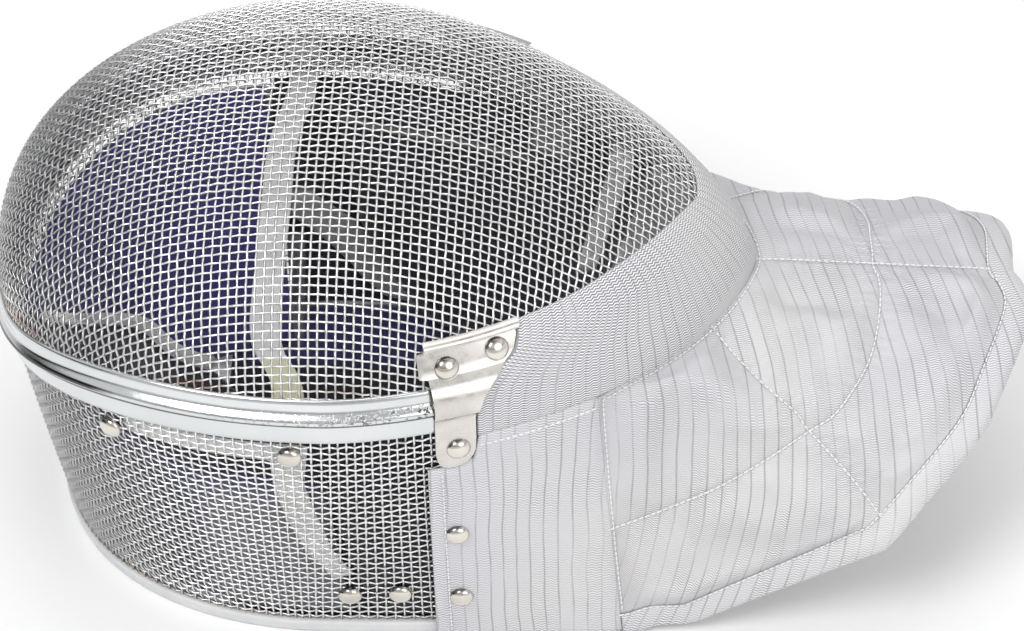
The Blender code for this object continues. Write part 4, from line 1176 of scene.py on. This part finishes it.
def hem_line(side_share):
    side = np.where(side_share < 0.0, -1.0, 1.0)
    arch = side_share * HEM_ROWS[-1, 0]
    place = smooth_rows(HEM_ROWS, 400)
    x = np.interp(arch, place[:, 0], place[:, 1]) * MM - HEM_WIDTH
    turn = np.radians(np.abs(arch))
    y = BIB_HALF_WIDTH * np.sin(turn) ** (2.0 / BIB_ARCH_POWER) * side
    z = BIB_HEIGHT * np.cos(turn) ** (2.0 / BIB_ARCH_POWER)
    return np.stack([x, y, z], -1)


def bib_sheet(side_share, forward):
    """Outer surface of the bib before quilting."""
    start = seam_line(side_share, SEAM_LIFT)
    round_ = sum(seam_line(np.clip(side_share + step, -1.0, 1.0), SEAM_LIFT + 0.3 * MM) for step in CORNER_STEPS)
    start = start + (round_ / len(CORNER_STEPS) - start) * smooth(forward, 0.0, 0.14)[..., None]
    end = hem_line(side_share)
    mixed = start + (end - start) * forward[..., None]
    reach = np.abs(side_share)
    lift = (end - start)[..., 2] * forward
    rest = (end - start)[..., 2] * np.clip((forward - BIB_FLOOR_SHARE) / (1.0 - BIB_FLOOR_SHARE), 0.0, 1.0)
    mixed[..., 2] += (rest - lift) * smooth(reach, 0.75, 1.0)
    waist = np.where(side_share < 0.0, BIB_NEAR_WAIST, BIB_FAR_WAIST) * np.sin(np.pi * forward**0.5)
    waist = waist * smooth(reach, 0.05, 0.4) * (1.0 - smooth(reach, 0.55, 0.9))
    mixed[..., 2] -= waist
    mixed[..., 1] -= waist * np.where(side_share < 0.0, -1.0, 1.0)
    mixed[..., 1] += BIB_LEAN * forward * smooth(side_share, -0.8, -0.1)
    return mixed


def grid_normals(points):
    across = np.gradient(points, axis=1)
    along = np.gradient(points, axis=0)
    return unit(np.cross(along, across))


def seam_rows():
    """Every quilting seam of both halves, as across and forward."""
    found = [smooth_rows(MIDDLE_SEAM, 120)]
    for seam in (LONG_SEAM, CROSS_SEAM):
        rows = smooth_rows(seam, 160)
        found.append(rows)
        found.append(rows * np.array([-1.0, 1.0]))
    return found


def seam_distance(sheet):
    """Distance of every point of the sheet from the nearest seam, and how far along that seam it is."""
    near = np.full(sheet.shape[:2], 9.0)
    run = np.zeros(sheet.shape[:2])
    for number, rows in enumerate(seam_rows()):
        line = bib_sheet(rows[:, 0], np.clip(rows[:, 1], 0.0, 1.0))
        length = np.concatenate([[0.0], np.cumsum(np.linalg.norm(np.diff(line, axis=0), axis=1))])
        for start in range(0, len(line), 40):
            gap = np.linalg.norm(sheet[:, :, None, :] - line[None, None, start:start + 40], axis=-1)
            best = gap.argmin(-1)
            gap = gap.min(-1)
            closer = gap < near
            run = np.where(closer, length[start + best] + 0.37 * number, run)
            near = np.where(closer, gap, near)
    return near, run


def resample(grid, columns, rows):
    """A grid of vectors interpolated to another number of columns and rows."""
    for axis, count in ((0, rows), (1, columns)):
        have = grid.shape[axis]
        run = np.linspace(0.0, have - 1.0, count)
        low = np.clip(np.floor(run).astype(int), 0, have - 2)
        part = run - low
        shape = [1, 1, 1]
        shape[axis] = count
        part = part.reshape(shape)
        grid = np.take(grid, low, axis) * (1.0 - part) + np.take(grid, low + 1, axis) * part
    return grid


SWELL_FRAMES = 18
SWELL_LIMIT = 7.5 * MM


def swell(start, held):
    """Cloth simulation of a grid of points: padding presses it outwards while held points stay."""
    rows, columns = start.shape[:2]
    index = np.arange(rows * columns).reshape(rows, columns)
    faces = np.stack([index[:-1, :-1], index[:-1, 1:], index[1:, 1:], index[1:, :-1]], -1).reshape(-1, 4)
    obj = add_mesh("quilting", start.reshape(-1, 3), faces.tolist())
    group = obj.vertex_groups.new(name="sewn")
    group.add(np.nonzero(held.ravel())[0].tolist(), 1.0, "REPLACE")
    cloth = obj.modifiers.new("cloth", "CLOTH")
    settings = cloth.settings
    settings.quality = 5
    settings.mass = 0.25
    settings.tension_stiffness = 12.0
    settings.compression_stiffness = 12.0
    settings.shear_stiffness = 6.0
    settings.bending_stiffness = 0.25
    settings.effector_weights.gravity = 0.0
    settings.vertex_group_mass = "sewn"
    settings.use_pressure = True
    settings.uniform_pressure_force = 3.5
    settings.shrink_min = -0.035
    cloth.collision_settings.use_collision = False
    scene = bpy.context.scene
    for frame_number in range(1, SWELL_FRAMES + 1):
        scene.frame_set(frame_number)
    depsgraph = bpy.context.evaluated_depsgraph_get()
    mesh = obj.evaluated_get(depsgraph).data
    flat = np.zeros(rows * columns * 3, np.float32)
    mesh.vertices.foreach_get("co", flat)
    scene.frame_set(1)
    data = obj.data
    bpy.data.objects.remove(obj)
    bpy.data.meshes.remove(data)
    return flat.reshape(rows, columns, 3).astype(float)


def soften(grid, rounds):
    """A grid of values or vectors, smoothed over its neighbours."""
    for _ in range(rounds):
        for axis in (0, 1):
            before = np.concatenate([np.take(grid, [0], axis), np.take(grid, np.arange(grid.shape[axis] - 1), axis)], axis)
            after = np.concatenate([np.take(grid, np.arange(1, grid.shape[axis]), axis), np.take(grid, [-1], axis)], axis)
            grid = 0.5 * grid + 0.25 * (before + after)
    return grid


SURFACES = {}


def bib_surface(columns, rows):
    """Quilted outer surface of the bib, its normals and forward shares: rows forward, columns across."""
    if (columns, rows) in SURFACES:
        return SURFACES[columns, rows]
    across, forward = np.meshgrid(np.linspace(-1.0, 1.0, columns), np.linspace(0.0, 1.0, rows))
    sheet = bib_sheet(across, forward)
    normal = grid_normals(sheet)
    near, run = seam_distance(sheet)
    edge = np.clip(np.minimum(forward, 1.0 - forward) / 0.12, 0.0, 1.0)
    edge = smooth(edge, 0.0, 1.0) * smooth(1.0 - np.abs(across), 0.0, 0.06)
    puff = PUFF * (1.0 - np.exp(-((near / PUFF_WIDTH) ** 1.7))) * edge
    lift = normal * puff[..., None] + resample(swollen(), columns, rows)
    pucker = np.sin(run / (4.6 * MM) * 6.2832 + 1.7 * np.sin(run / (19.0 * MM) * 6.2832))
    pucker = pucker * np.exp(-near / (4.5 * MM)) * smooth(near, 0.3 * MM, 1.8 * MM) * edge
    groove = np.exp(-((near / (1.1 * MM)) ** 2)) * edge
    lift = lift + normal * (0.42 * MM * pucker - 0.35 * MM * groove)[..., None]
    surface = sheet + lift
    surface[..., 2] = np.maximum(surface[..., 2], 0.0)
    SURFACES[columns, rows] = (surface, normal, forward, across, near)
    return SURFACES[columns, rows]


def swollen():
    """What the simulation adds to the plain quilting, as a coarse grid of vectors."""
    if "swollen" in SURFACES:
        return SURFACES["swollen"]
    columns, rows = 201, 67
    across, forward = np.meshgrid(np.linspace(-1.0, 1.0, columns), np.linspace(0.0, 1.0, rows))
    sheet = bib_sheet(across, forward)
    normal = grid_normals(sheet)
    near, run = seam_distance(sheet)
    edge = np.clip(np.minimum(forward, 1.0 - forward) / 0.12, 0.0, 1.0)
    edge = smooth(edge, 0.0, 1.0) * smooth(1.0 - np.abs(across), 0.0, 0.06)
    puff = 0.7 * PUFF * (1.0 - np.exp(-((near / PUFF_WIDTH) ** 1.7))) * edge
    start = sheet + normal * puff[..., None]
    added = np.zeros_like(start)
    held = (near < 1.9 * MM) | (forward < 0.02) | (forward > 0.98) | (np.abs(across) > 0.985)
    added = swell(start, held) - start
    out = (added * normal).sum(-1, keepdims=True)
    aside = added - normal * out
    size = np.linalg.norm(aside, axis=-1, keepdims=True)
    aside = aside * np.minimum(1.0, 1.5 * MM / np.maximum(size, 1e-9))
    full = puff[..., None] + out
    out = np.clip(full, -0.8 * MM, SWELL_LIMIT) - puff[..., None]
    added = soften(normal * (out - 0.3 * puff[..., None] / 0.7) + aside, 5) * edge[..., None]
    print("swell mm", np.round(out.min() * 1000, 2), np.round(out.max() * 1000, 2), np.round(out.mean() * 1000, 2))
    SURFACES["swollen"] = added
    return added


class MASK_OT_bib(bpy.types.Operator):
    """Quilts the throat guard"""
    bl_idname = "mask.bib"
    bl_label = "Bib"

    def execute(self, context):
        outer, normal, forward, across, near = bib_surface(361, 121)
        thick = CLOTH + (BIB_THICKNESS - CLOTH) * smooth(forward, 0.1, 0.22)
        inner = outer - normal * thick[..., None]
        inner[..., 2] = np.maximum(inner[..., 2], 0.0)
        share = np.linspace(-1.0, 1.0, outer.shape[1])
        inner[0] = seam_line(share, COVER_OFFSET + 0.9 * MM * smooth(np.abs(share), BIB_CORNER_U, BIB_CORNER_U - 0.08))
        rings = np.concatenate([outer, inner[::-1]], 0).swapaxes(0, 1)
        chord = np.linalg.norm(np.diff(outer[:, ::6], axis=1), axis=-1) / 6.0
        steps = np.repeat(soften(chord, 3), 6, axis=1)
        length = np.concatenate([np.zeros((len(steps), 1)), np.cumsum(steps, axis=1)], 1)
        length -= length[:, length.shape[1] // 2][:, None]
        bib = sweep("bib_quilted", rings, finish_of("silver_bib"), across=np.concatenate([length, length[::-1]]).T)
        settle(bib, "silver_cloth", "bib")
        return {"FINISHED"}


HEM_SECTION = [
    # width mm, share of the thickness below the outer face, lift mm
    (-0.95, 0.1, 0.0), (-0.9, 0.0, -0.2), (-0.5, 0.0, 0.1), (0.2, 0.0, 0.35), (1.4, 0.0, 0.55), (3.0, 0.0, 0.75),
    (5.0, 0.0, 0.8), (7.0, 0.0, 0.55), (8.3, 0.05, 0.1), (9.2, 0.3, 0.0), (9.4, 0.5, 0.0),
    (9.4, 0.5, 0.0), (9.2, 0.7, 0.0), (8.3, 0.95, 0.0), (7.0, 1.0, 0.0), (5.0, 1.0, 0.0), (3.0, 1.0, 0.0),
    (1.4, 1.0, 0.0), (0.2, 1.0, 0.0), (-0.5, 1.0, 0.0), (-0.9, 1.0, 0.0), (-0.95, 0.9, 0.0),
]


def hem_walk():
    """Stations round the bib's free edge: place, up, outward and cloth thickness."""
    outer, normal, forward, across, near = bib_surface(181, 61)
    columns = outer.shape[1]
    last = outer.shape[0] - 1
    turns = 9
    walk = [(i, 0) for i in range(last)]
    walk += [(last, 0)] * turns
    walk += [(last, j) for j in range(1, columns - 1)]
    walk += [(last, columns - 1)] * turns
    walk += [(i, columns - 1) for i in range(last - 1, -1, -1)]
    place = np.array([outer[i, j] for i, j in walk])
    up = np.array([normal[i, j] for i, j in walk])
    run = np.zeros_like(place)
    for n, (i, j) in enumerate(walk):
        if j == 0 or j == columns - 1:
            here = outer[min(i + 1, last), j] - outer[max(i - 1, 0), j]
            run[n] = here if j == 0 else -here
        if i == last and 0 < j < columns - 1:
            run[n] = outer[last, j + 1] - outer[last, j - 1]
    run = unit(run)
    for first in (last, last + turns + columns - 2):
        before = run[first - 1].copy()
        after = run[first + turns].copy()
        for n in range(turns):
            part = (n + 0.5) / turns
            run[first + n] = unit(before * (1.0 - part) + after * part)
    out = unit(np.cross(run, up))
    thick = CLOTH + (BIB_THICKNESS - CLOTH) * smooth(np.array([forward[i, j] for i, j in walk]), 0.1, 0.22)
    return place, up, out, thick[:, None]


class MASK_OT_bib_hem(bpy.types.Operator):
    """Binds the free edge of the bib"""
    bl_idname = "mask.bib_hem"
    bl_label = "Bib hem"

    def execute(self, context):
        place, up, out, thick = hem_walk()
        rings = np.stack([place + out * (0.8 + w) * MM + up * (d * MM - thick * deep)
                          for w, deep, d in HEM_SECTION], 1)
        rings[..., 2] = np.maximum(rings[..., 2], 0.0)
        hem = sweep("bib_hem_bound", rings, finish_of("silver_hem"))
        settle(hem, "silver_cloth", "bib_hem")
        return {"FINISHED"}


class MASK_OT_stitches(bpy.types.Operator):
    """Sews white thread along the seams"""
    bl_idname = "mask.stitches"
    bl_label = "Stitches"

    def execute(self, context):
        group = bpy.data.node_groups.get("Stitches") or stitch_tree()
        lines = []
        outer, normal, forward, across, near = bib_surface(361, 121)

        def on_bib(rows, raised):
            column = (rows[:, 0] + 1.0) * 0.5 * (outer.shape[1] - 1)
            row = np.clip(rows[:, 1], 0.0, 1.0) * (outer.shape[0] - 1)
            i = np.clip(np.round(row).astype(int), 0, outer.shape[0] - 1)
            j = np.clip(np.round(column).astype(int), 0, outer.shape[1] - 1)
            return bib_sheet(rows[:, 0], np.clip(rows[:, 1], 0.0, 1.0)) + normal[i, j] * raised

        for rows in seam_rows():
            lines.append(on_bib(rows, 0.15 * MM))
        share = np.linspace(-0.985, 0.985, 500)
        depth = 0.008 + 0.004 * smooth(0.4 - np.abs(share), 0.0, 0.35)
        lines.append(on_bib(np.stack([share, depth], 1), 0.4 * MM))
        place, up, out, thick = hem_walk()
        lines.append(place + out * 0.15 * MM + up * 0.5 * MM)
        for side in (-1.0, 1.0):
            z = np.linspace(3.0 * MM, 92.0 * MM, 80)
            lines.append(shell(side * 109.6, z, COVER_OFFSET + CLOTH + 0.1 * MM))
            angle = np.linspace(115.4, JAW_CORNER - 0.4, 40)
            lines.append(shell(side * angle, 104.6 * MM, COVER_OFFSET + CLOTH + 0.15 * MM))
        obj = path_mesh("cloth_stitches", lines, [])
        bake(obj, group, {"Pitch": 2.3 * MM, "Length": 2.25 * MM, "Thickness": 0.7 * MM, "Material": finish_of("thread")})
        settle(obj, "silver_cloth")
        return {"FINISHED"}


# ---- inside

TAPE_ROWS = {
    # angle, z mm, angle, z mm
    "near": [
        (57.0, 108.0, 57.0, 99.5), (72.0, 108.0, 72.0, 99.5), (88.6, 108.0, 83.2, 99.5), (87.9, 86.0, 83.4, 84.0),
        (89.6, 66.0, 85.3, 64.0), (92.4, 48.0, 88.2, 45.0), (96.2, 33.0, 92.4, 30.5),
    ],
    "far": [
        (57.0, 108.0, 57.0, 99.5), (73.0, 108.0, 73.0, 99.5), (75.3, 108.0, 75.0, 99.5), (80.0, 106.0, 74.0, 97.5),
        (80.2, 80.0, 74.0, 78.0), (83.2, 58.0, 76.0, 53.0), (91.5, 44.0, 84.5, 38.0), (97.0, 27.0, 91.5, 22.0),
        (102.0, 15.0, 97.0, 11.0), (112.0, 10.0, 108.0, 5.5),
    ],
}
CHEEK_ROWS = [
    # z mm, near rear edge deg, far rear edge deg, far front edge deg, near and far thickness mm, lean mm
    (7.5, 99.6, 103.5, 130.5, 9.0, 18.0, 0.0), (14.0, 98.9, 102.5, 131.0, 16.0, 22.0, 0.0),
    (30.0, 97.2, 97.5, 132.5, 18.0, 21.0, 0.0), (48.0, 95.0, 92.4, 135.0, 16.0, 18.0, 1.0),
    (74.0, 92.2, 88.6, 139.5, 13.0, 16.0, 7.0), (90.0, 91.2, 87.4, 143.0, 10.0, 13.0, 17.0),
    (99.0, 91.0, 87.2, 145.0, 8.0, 8.0, 24.0),
]
CHEEK_FRONT = 130.5
PAD_LAP = 0.5 * MM
FAR_PAD_LAP = 1.8 * MM
FAR_LINING_REAR = 77.0
FAR_LINING_RISE = 12.5 * MM
LINING = 1.6 * MM
CROWN_PAD_NEAR_END = 90.0
CROWN_PAD_NEAR_FOOT_END = 95.5
CROWN_PAD_NEAR_TOP_END = 87.5
CROWN_PAD_FAR_END = 75.0
CROWN_PAD_THICKNESS = 5.0 * MM
CROWN_PAD_FOOT_Z = 7.5 * MM
CROWN_PAD_TOP_Z = 108.5 * MM
CROWN_PAD_NEAR_TOP_Z = 114.0 * MM
CROWN_PAD_DRAW = 32.0 * MM
CROWN_PAD_NEAR_RETURN = 9.0 * MM
CROWN_PAD_STRAP_DROP = 9.0 * MM
CROWN_PAD_NEAR_SLACK = 1.0 * MM
CROWN_PAD_FAR_SLACK = 22.0 * MM
BINDING_END = 67.5
STRAP_BOW = [
    # share of the way across, mm towards the chin
    (-1.0, 13.0), (-0.79, 11.0), (-0.67, 7.0), (-0.58, 2.5), (-0.46, 0.2), (-0.33, -0.5), (-0.05, -1.0), (0.23, -1.4),
    (0.5, -1.9),
    (0.67, -0.4), (0.81, 2.2), (0.94, 3.6), (1.0, 4.0),
]
BACK_STRAP_ROWS = np.array([
    # x, half length (mm)
    [-113.0, 56.0], [-97.0, 81.6], [-80.0, 84.3], [-53.0, 84.8], [-26.0, 83.8],
]) * MM


def crown_pad_place(angle, share, inward):
    """A point of the crown pad's back face, share 0 at its foot and 1 at its upper edge."""
    draw = smooth(-angle, 0.0, 50.0)
    under = np.minimum(CROWN_PAD_TOP_Z, band_low_z(angle) - 3.0 * MM)
    top = under + (CROWN_PAD_NEAR_TOP_Z - under) * draw - CROWN_PAD_STRAP_DROP * smooth(-angle, 67.5, 75.0)
    z = CROWN_PAD_FOOT_Z + (top - CROWN_PAD_FOOT_Z) * share
    foot = CROWN_PAD_NEAR_SLACK + (CROWN_PAD_FAR_SLACK - CROWN_PAD_NEAR_SLACK) * smooth(angle, 5.0, 60.0)
    slack = foot * (1.0 - share) ** 1.5
    drawn = CROWN_PAD_DRAW * draw - CROWN_PAD_NEAR_RETURN * smooth(-angle, 36.0, 64.0)
    offset = -WALL - 1.5 * MM - drawn * share**1.3 - slack - inward
    return shell(angle, z, offset)


class MASK_OT_padding(bpy.types.Operator):
    """Fits the pads, tapes and straps inside"""
    bl_idname = "mask.padding"
    bl_label = "Padding"

    def tape(self, key, side):
        rows = poly_points(TAPE_ROWS[key], 60)
        part = np.linspace(0.0, 1.0, 8)
        angle = rows[:, :1] + (rows[:, 2:3] - rows[:, :1]) * part
        z = (rows[:, 1:2] + (rows[:, 3:4] - rows[:, 1:2]) * part) * MM
        over = 0.0
        if key == "far":
            over = 2.4 * MM * smooth(angle, FAR_LINING_REAR - 1.7, FAR_LINING_REAR - 0.3)
        outer = shell(side * angle, z, -WALL - 0.5 * MM - over)
        inner = shell(side * angle, z, -WALL - 1.2 * MM - over)
        tape = sweep(f"inside_tape_{key}_webbing", np.concatenate([outer, inner[:, ::-1]], 1), finish_of("tape"))
        settle(tape, "light_tape", f"inside_tape_{key}")

    def cheek(self, key, side):
        rows = smooth_rows(CHEEK_ROWS, 40)
        part = np.linspace(0.0, 1.0, 34)[None, :]
        rear = rows[:, 1:2] if key == "near" else rows[:, 2:3]
        front = CHEEK_FRONT if key == "near" else rows[:, 3:4]
        full = rows[:, 4:5] if key == "near" else rows[:, 5:6]
        angle = rear + (front - rear) * part
        belly = 1.0 - 0.7 * np.abs(2.0 * np.linspace(0.0, 1.0, 40)[:, None] - 1.0) ** 8
        thick = full * MM * (1.0 - 0.6 * np.abs(2.0 * part - 1.0) ** 4) * belly
        if key == "near":
            back = -WALL - PAD_LAP - rows[:, 6:7] * MM * np.ones_like(part)
        else:
            lining = FAR_LINING_REAR + (rear - 0.4 - FAR_LINING_REAR) * np.linspace(0.0, 1.0, 16)[None, :]
            angle = np.hstack([lining, angle])
            thick = np.hstack([np.full_like(lining, LINING), thick])
            back = np.hstack([np.full_like(lining, -WALL - PAD_LAP), np.full((len(rows), 34), -WALL - FAR_PAD_LAP)])
        z = rows[:, :1] * MM + 0.0 * angle
        if key == "far":
            z = z + FAR_LINING_RISE * smooth(z, 60.0 * MM, 99.0 * MM)
        front_face = shell(side * angle, z, back - thick)
        pad = sweep(f"cheek_pad_{key}_cloth", np.concatenate([shell(side * angle, z, back), front_face[:, ::-1]], 1),
                    finish_of("dark"))
        settle(pad, "dark_cloth", f"cheek_pad_{key}")

    def execute(self, context):
        for key, side in (("near", -1.0), ("far", 1.0)):
            self.tape(key, side)
            self.cheek(key, side)

        share = np.linspace(0.0, 1.0, 40)[None, :]
        near_end = -CROWN_PAD_NEAR_FOOT_END + (CROWN_PAD_NEAR_FOOT_END - CROWN_PAD_NEAR_TOP_END) * share
        angle = near_end + (CROWN_PAD_FAR_END - near_end) * np.linspace(0.0, 1.0, 140)[:, None]
        belly = 1.0 - np.abs(2.0 * share - 1.0) ** 6
        back = crown_pad_place(angle, share, 0.0)
        front = crown_pad_place(angle, share, CROWN_PAD_THICKNESS * (0.35 + 0.65 * belly))
        pad = sweep("crown_pad_cloth", np.concatenate([back, front[:, ::-1]], 1), finish_of("blue"))
        settle(pad, "blue_cloth", "crown_pad")

        angle = np.linspace(-BINDING_END, -15.0, 60)
        middle = crown_pad_place(angle, 1.0, 0.5 * CROWN_PAD_THICKNESS)
        middle[:, 2] += 2.9 * MM
        inward = unit(crown_pad_place(angle, 1.0, CROWN_PAD_THICKNESS) - crown_pad_place(angle, 1.0, 0.0))
        turn = np.linspace(0.0, 2.0 * np.pi, 16, endpoint=False)
        rings = middle[:, None, :] + inward[:, None, :] * np.cos(turn)[None, :, None] * 2.6 * MM
        rings[..., 2] += np.sin(turn)[None, :] * 2.6 * MM
        binding = sweep("crown_pad_binding_tape", rings, finish_of("tape"))
        settle(binding, "light_tape", "crown_pad_binding")

        part = np.linspace(-1.0, 1.0, 60)
        x = (-87.0 + np.array([-5.5, -5.2, -4.4, 0.0, 4.4, 5.2, 5.5])) * MM
        share = (MIDDLE_X - x) / (CROWN_REACH - WALL)
        wide = (HALF_WIDTH - 2.4 * MM) * (1.0 - share**CROWN_PLAN_POWER) ** (1.0 / CROWN_PLAN_POWER)
        crown = np.array([0.9, 0.3, 0.0, 0.0, 0.0, 0.3, 0.9])
        top = np.zeros((60, 7, 3))
        bow = smooth_rows(STRAP_BOW, 200)
        top[..., 0] = x + np.interp(part, bow[:, 0], bow[:, 1])[:, None] * MM
        top[..., 1] = wide * part[:, None]
        top[..., 2] = (114.5 - 2.0 * (1.0 - part**2)[:, None] - 0.5 * crown) * MM
        low = top.copy()
        low[..., 2] -= (1.6 - crown) * MM
        strap = sweep("brow_strap_webbing", np.concatenate([top, low[:, ::-1]], 1), finish_of("strap"))
        settle(strap, "light_tape", "brow_strap")

        rows = poly_points(BACK_STRAP_ROWS, 36)
        part = np.linspace(-1.0, 1.0, 61)[:, None]
        top = np.stack([rows[:, 0] + 0.0 * part, rows[:, 1] * part,
                        4.0 * MM + 2.0 * MM * np.abs(part) ** 3 + 0.0 * rows[:, 0]], -1)
        low = top - np.array([0.0, 0.0, 1.6 * MM])
        back_strap = sweep("back_strap_elastic", np.concatenate([top, low[:, ::-1]], 1), finish_of("dark"))
        settle(back_strap, "dark_cloth", "back_strap")
        return {"FINISHED"}


# ---- stage

def camera_place():
    """The photograph's camera: its matrix and lens."""
    height = np.radians(42.5)
    turn = np.radians(-1.8)
    distance = 1.3
    view = np.array([np.sin(turn) * np.cos(height), np.cos(turn) * np.cos(height), -np.sin(height)])
    right = np.array([np.cos(turn), -np.sin(turn), 0.0])
    up = np.cross(right, view)
    target = np.array([0.0, 0.0, 0.09]) - up * (315.5 - 293.77) / 2700.0
    place = Matrix.Identity(4)
    for row in range(3):
        place[row][0] = right[row]
        place[row][1] = up[row]
        place[row][2] = -view[row]
        place[row][3] = (target - distance * view)[row]
    return place, 3510.0 / 1024.0 * 36.0


class MaskStage(bpy.types.PropertyGroup):
    floor: bpy.props.FloatVectorProperty(
        name="Floor", description="Colour of the floor", subtype="COLOR", default=(0.93, 0.93, 0.93))
    strength: bpy.props.FloatProperty(name="Light", description="Brightness of the studio", default=1.0, min=0.0)


class MASK_OT_stage(bpy.types.Operator):
    """Sets the floor, the lights and the camera"""
    bl_idname = "mask.stage"
    bl_label = "Stage"

    def execute(self, context):
        stage = context.scene.mask_stage
        floor = add_mesh("floor", [(-4, -4, 0), (4, -4, 0), (4, 4, 0), (-4, 4, 0)], [(0, 1, 2, 3)])
        floor.location.z = 0.0
        made, tree, shader = new_material("pale_floor")
        shader.inputs["Base Color"].default_value = (*stage.floor, 1.0)
        shader.inputs["Roughness"].default_value = 0.8
        floor.data.materials.append(made)
        world = bpy.data.worlds.new("studio")
        world.use_nodes = True
        room = Tree(world.node_tree)
        way = room.add("ShaderNodeSeparateXYZ", room.add("ShaderNodeTexCoord").outputs["Generated"])
        away = remap(room, way.outputs[1], -0.95, -0.2, 0.78, 1.0)
        high = remap(room, way.outputs[2], 0.45, 1.0, 1.0, 0.72)
        ring = remap(room, room.math("ABSOLUTE", room.math("SUBTRACT", way.outputs[2], 0.36)), 0.05, 0.1, 0.45, 1.0)
        tone = room.math("MULTIPLY", room.math("MULTIPLY", away, high), ring)
        behind = remap(room, way.outputs[0], -0.78, -0.92, 0.0, 1.0)
        level = remap(room, room.math("ABSOLUTE", room.math("SUBTRACT", way.outputs[2], 0.15)), 0.12, 0.17, 1.0, 0.0)
        tone = room.math("MULTIPLY", tone, room.math("SUBTRACT", 1.0, room.math("MULTIPLY", behind, level)))
        back = world.node_tree.nodes["Background"]
        world.node_tree.links.new(tone, back.inputs[0])
        back.inputs[1].default_value = 0.84 * stage.strength
        context.scene.world = world
        lamps = (
            ("key", (-0.7, -0.9, 1.5), 0.9, 15.0),
            ("fill", (0.9, -1.1, 0.9), 1.2, 6.0),
            ("top", (0.1, 0.5, 1.6), 1.2, 5.0),
        )
        for name, place, size, power in lamps:
            data = bpy.data.lights.new(name, "AREA")
            data.shape = "DISK"
            data.size = size
            data.energy = power * stage.strength
            lamp = bpy.data.objects.new(name, data)
            lamp.location = place
            aim = Matrix.Identity(3)
            toward = np.array([0.0, 0.0, 0.08]) - np.array(place)
            from_vector = -toward / np.linalg.norm(toward)
            side = unit(np.cross([0.0, 1.0, 0.01], from_vector))
            up = np.cross(from_vector, side)
            for row in range(3):
                aim[row][0] = side[row]
                aim[row][1] = up[row]
                aim[row][2] = from_vector[row]
            lamp.rotation_euler = aim.to_euler()
            context.scene.collection.objects.link(lamp)
        place, lens = camera_place()
        data = bpy.data.cameras.new("camera")
        data.lens = lens
        data.sensor_width = 36.0
        camera = bpy.data.objects.new("camera", data)
        camera.matrix_world = place
        context.scene.collection.objects.link(camera)
        context.scene.camera = camera
        context.scene.view_settings.view_transform = "Standard"
        return {"FINISHED"}


OPERATORS = (
    MASK_OT_face_weave, MASK_OT_crown_weave, MASK_OT_brow_band, MASK_OT_rear_rim, MASK_OT_brackets,
    MASK_OT_rivets, MASK_OT_jaw_strip, MASK_OT_side_covers, MASK_OT_bib, MASK_OT_bib_hem, MASK_OT_stitches,
    MASK_OT_padding, MASK_OT_stage,
)


class MASK_PT_panel(bpy.types.Panel):
    """Lists the pieces of the mask"""
    bl_idname = "MASK_PT_panel"
    bl_label = "Fencing Mask"
    bl_space_type = "VIEW_3D"
    bl_region_type = "UI"
    bl_category = "Mask"

    def draw(self, context):
        column = self.layout.column()
        column.prop(context.scene.mask_wire, "pitch")
        column.prop(context.scene.mask_wire, "thickness")
        column.prop(context.scene.mask_stage, "floor")
        for operator in OPERATORS:
            column.operator(operator.bl_idname)


CLASSES = (MaskWire, MaskStage, *OPERATORS, MASK_PT_panel)


def register():
    for item in CLASSES:
        bpy.utils.register_class(item)
    bpy.types.Scene.mask_wire = bpy.props.PointerProperty(type=MaskWire)
    bpy.types.Scene.mask_stage = bpy.props.PointerProperty(type=MaskStage)


def unregister():
    del bpy.types.Scene.mask_stage
    del bpy.types.Scene.mask_wire
    for item in reversed(CLASSES):
        bpy.utils.unregister_class(item)


def main():
    register()
    bpy.ops.mask.face_weave()
    bpy.ops.mask.crown_weave()
    bpy.ops.mask.brow_band()
    bpy.ops.mask.rear_rim()
    bpy.ops.mask.brackets()
    bpy.ops.mask.rivets()
    bpy.ops.mask.jaw_strip()
    bpy.ops.mask.side_covers()
    bpy.ops.mask.bib()
    bpy.ops.mask.bib_hem()
    bpy.ops.mask.stitches()
    bpy.ops.mask.padding()
    bpy.ops.mask.stage()


if __name__ == "__main__":
    main()
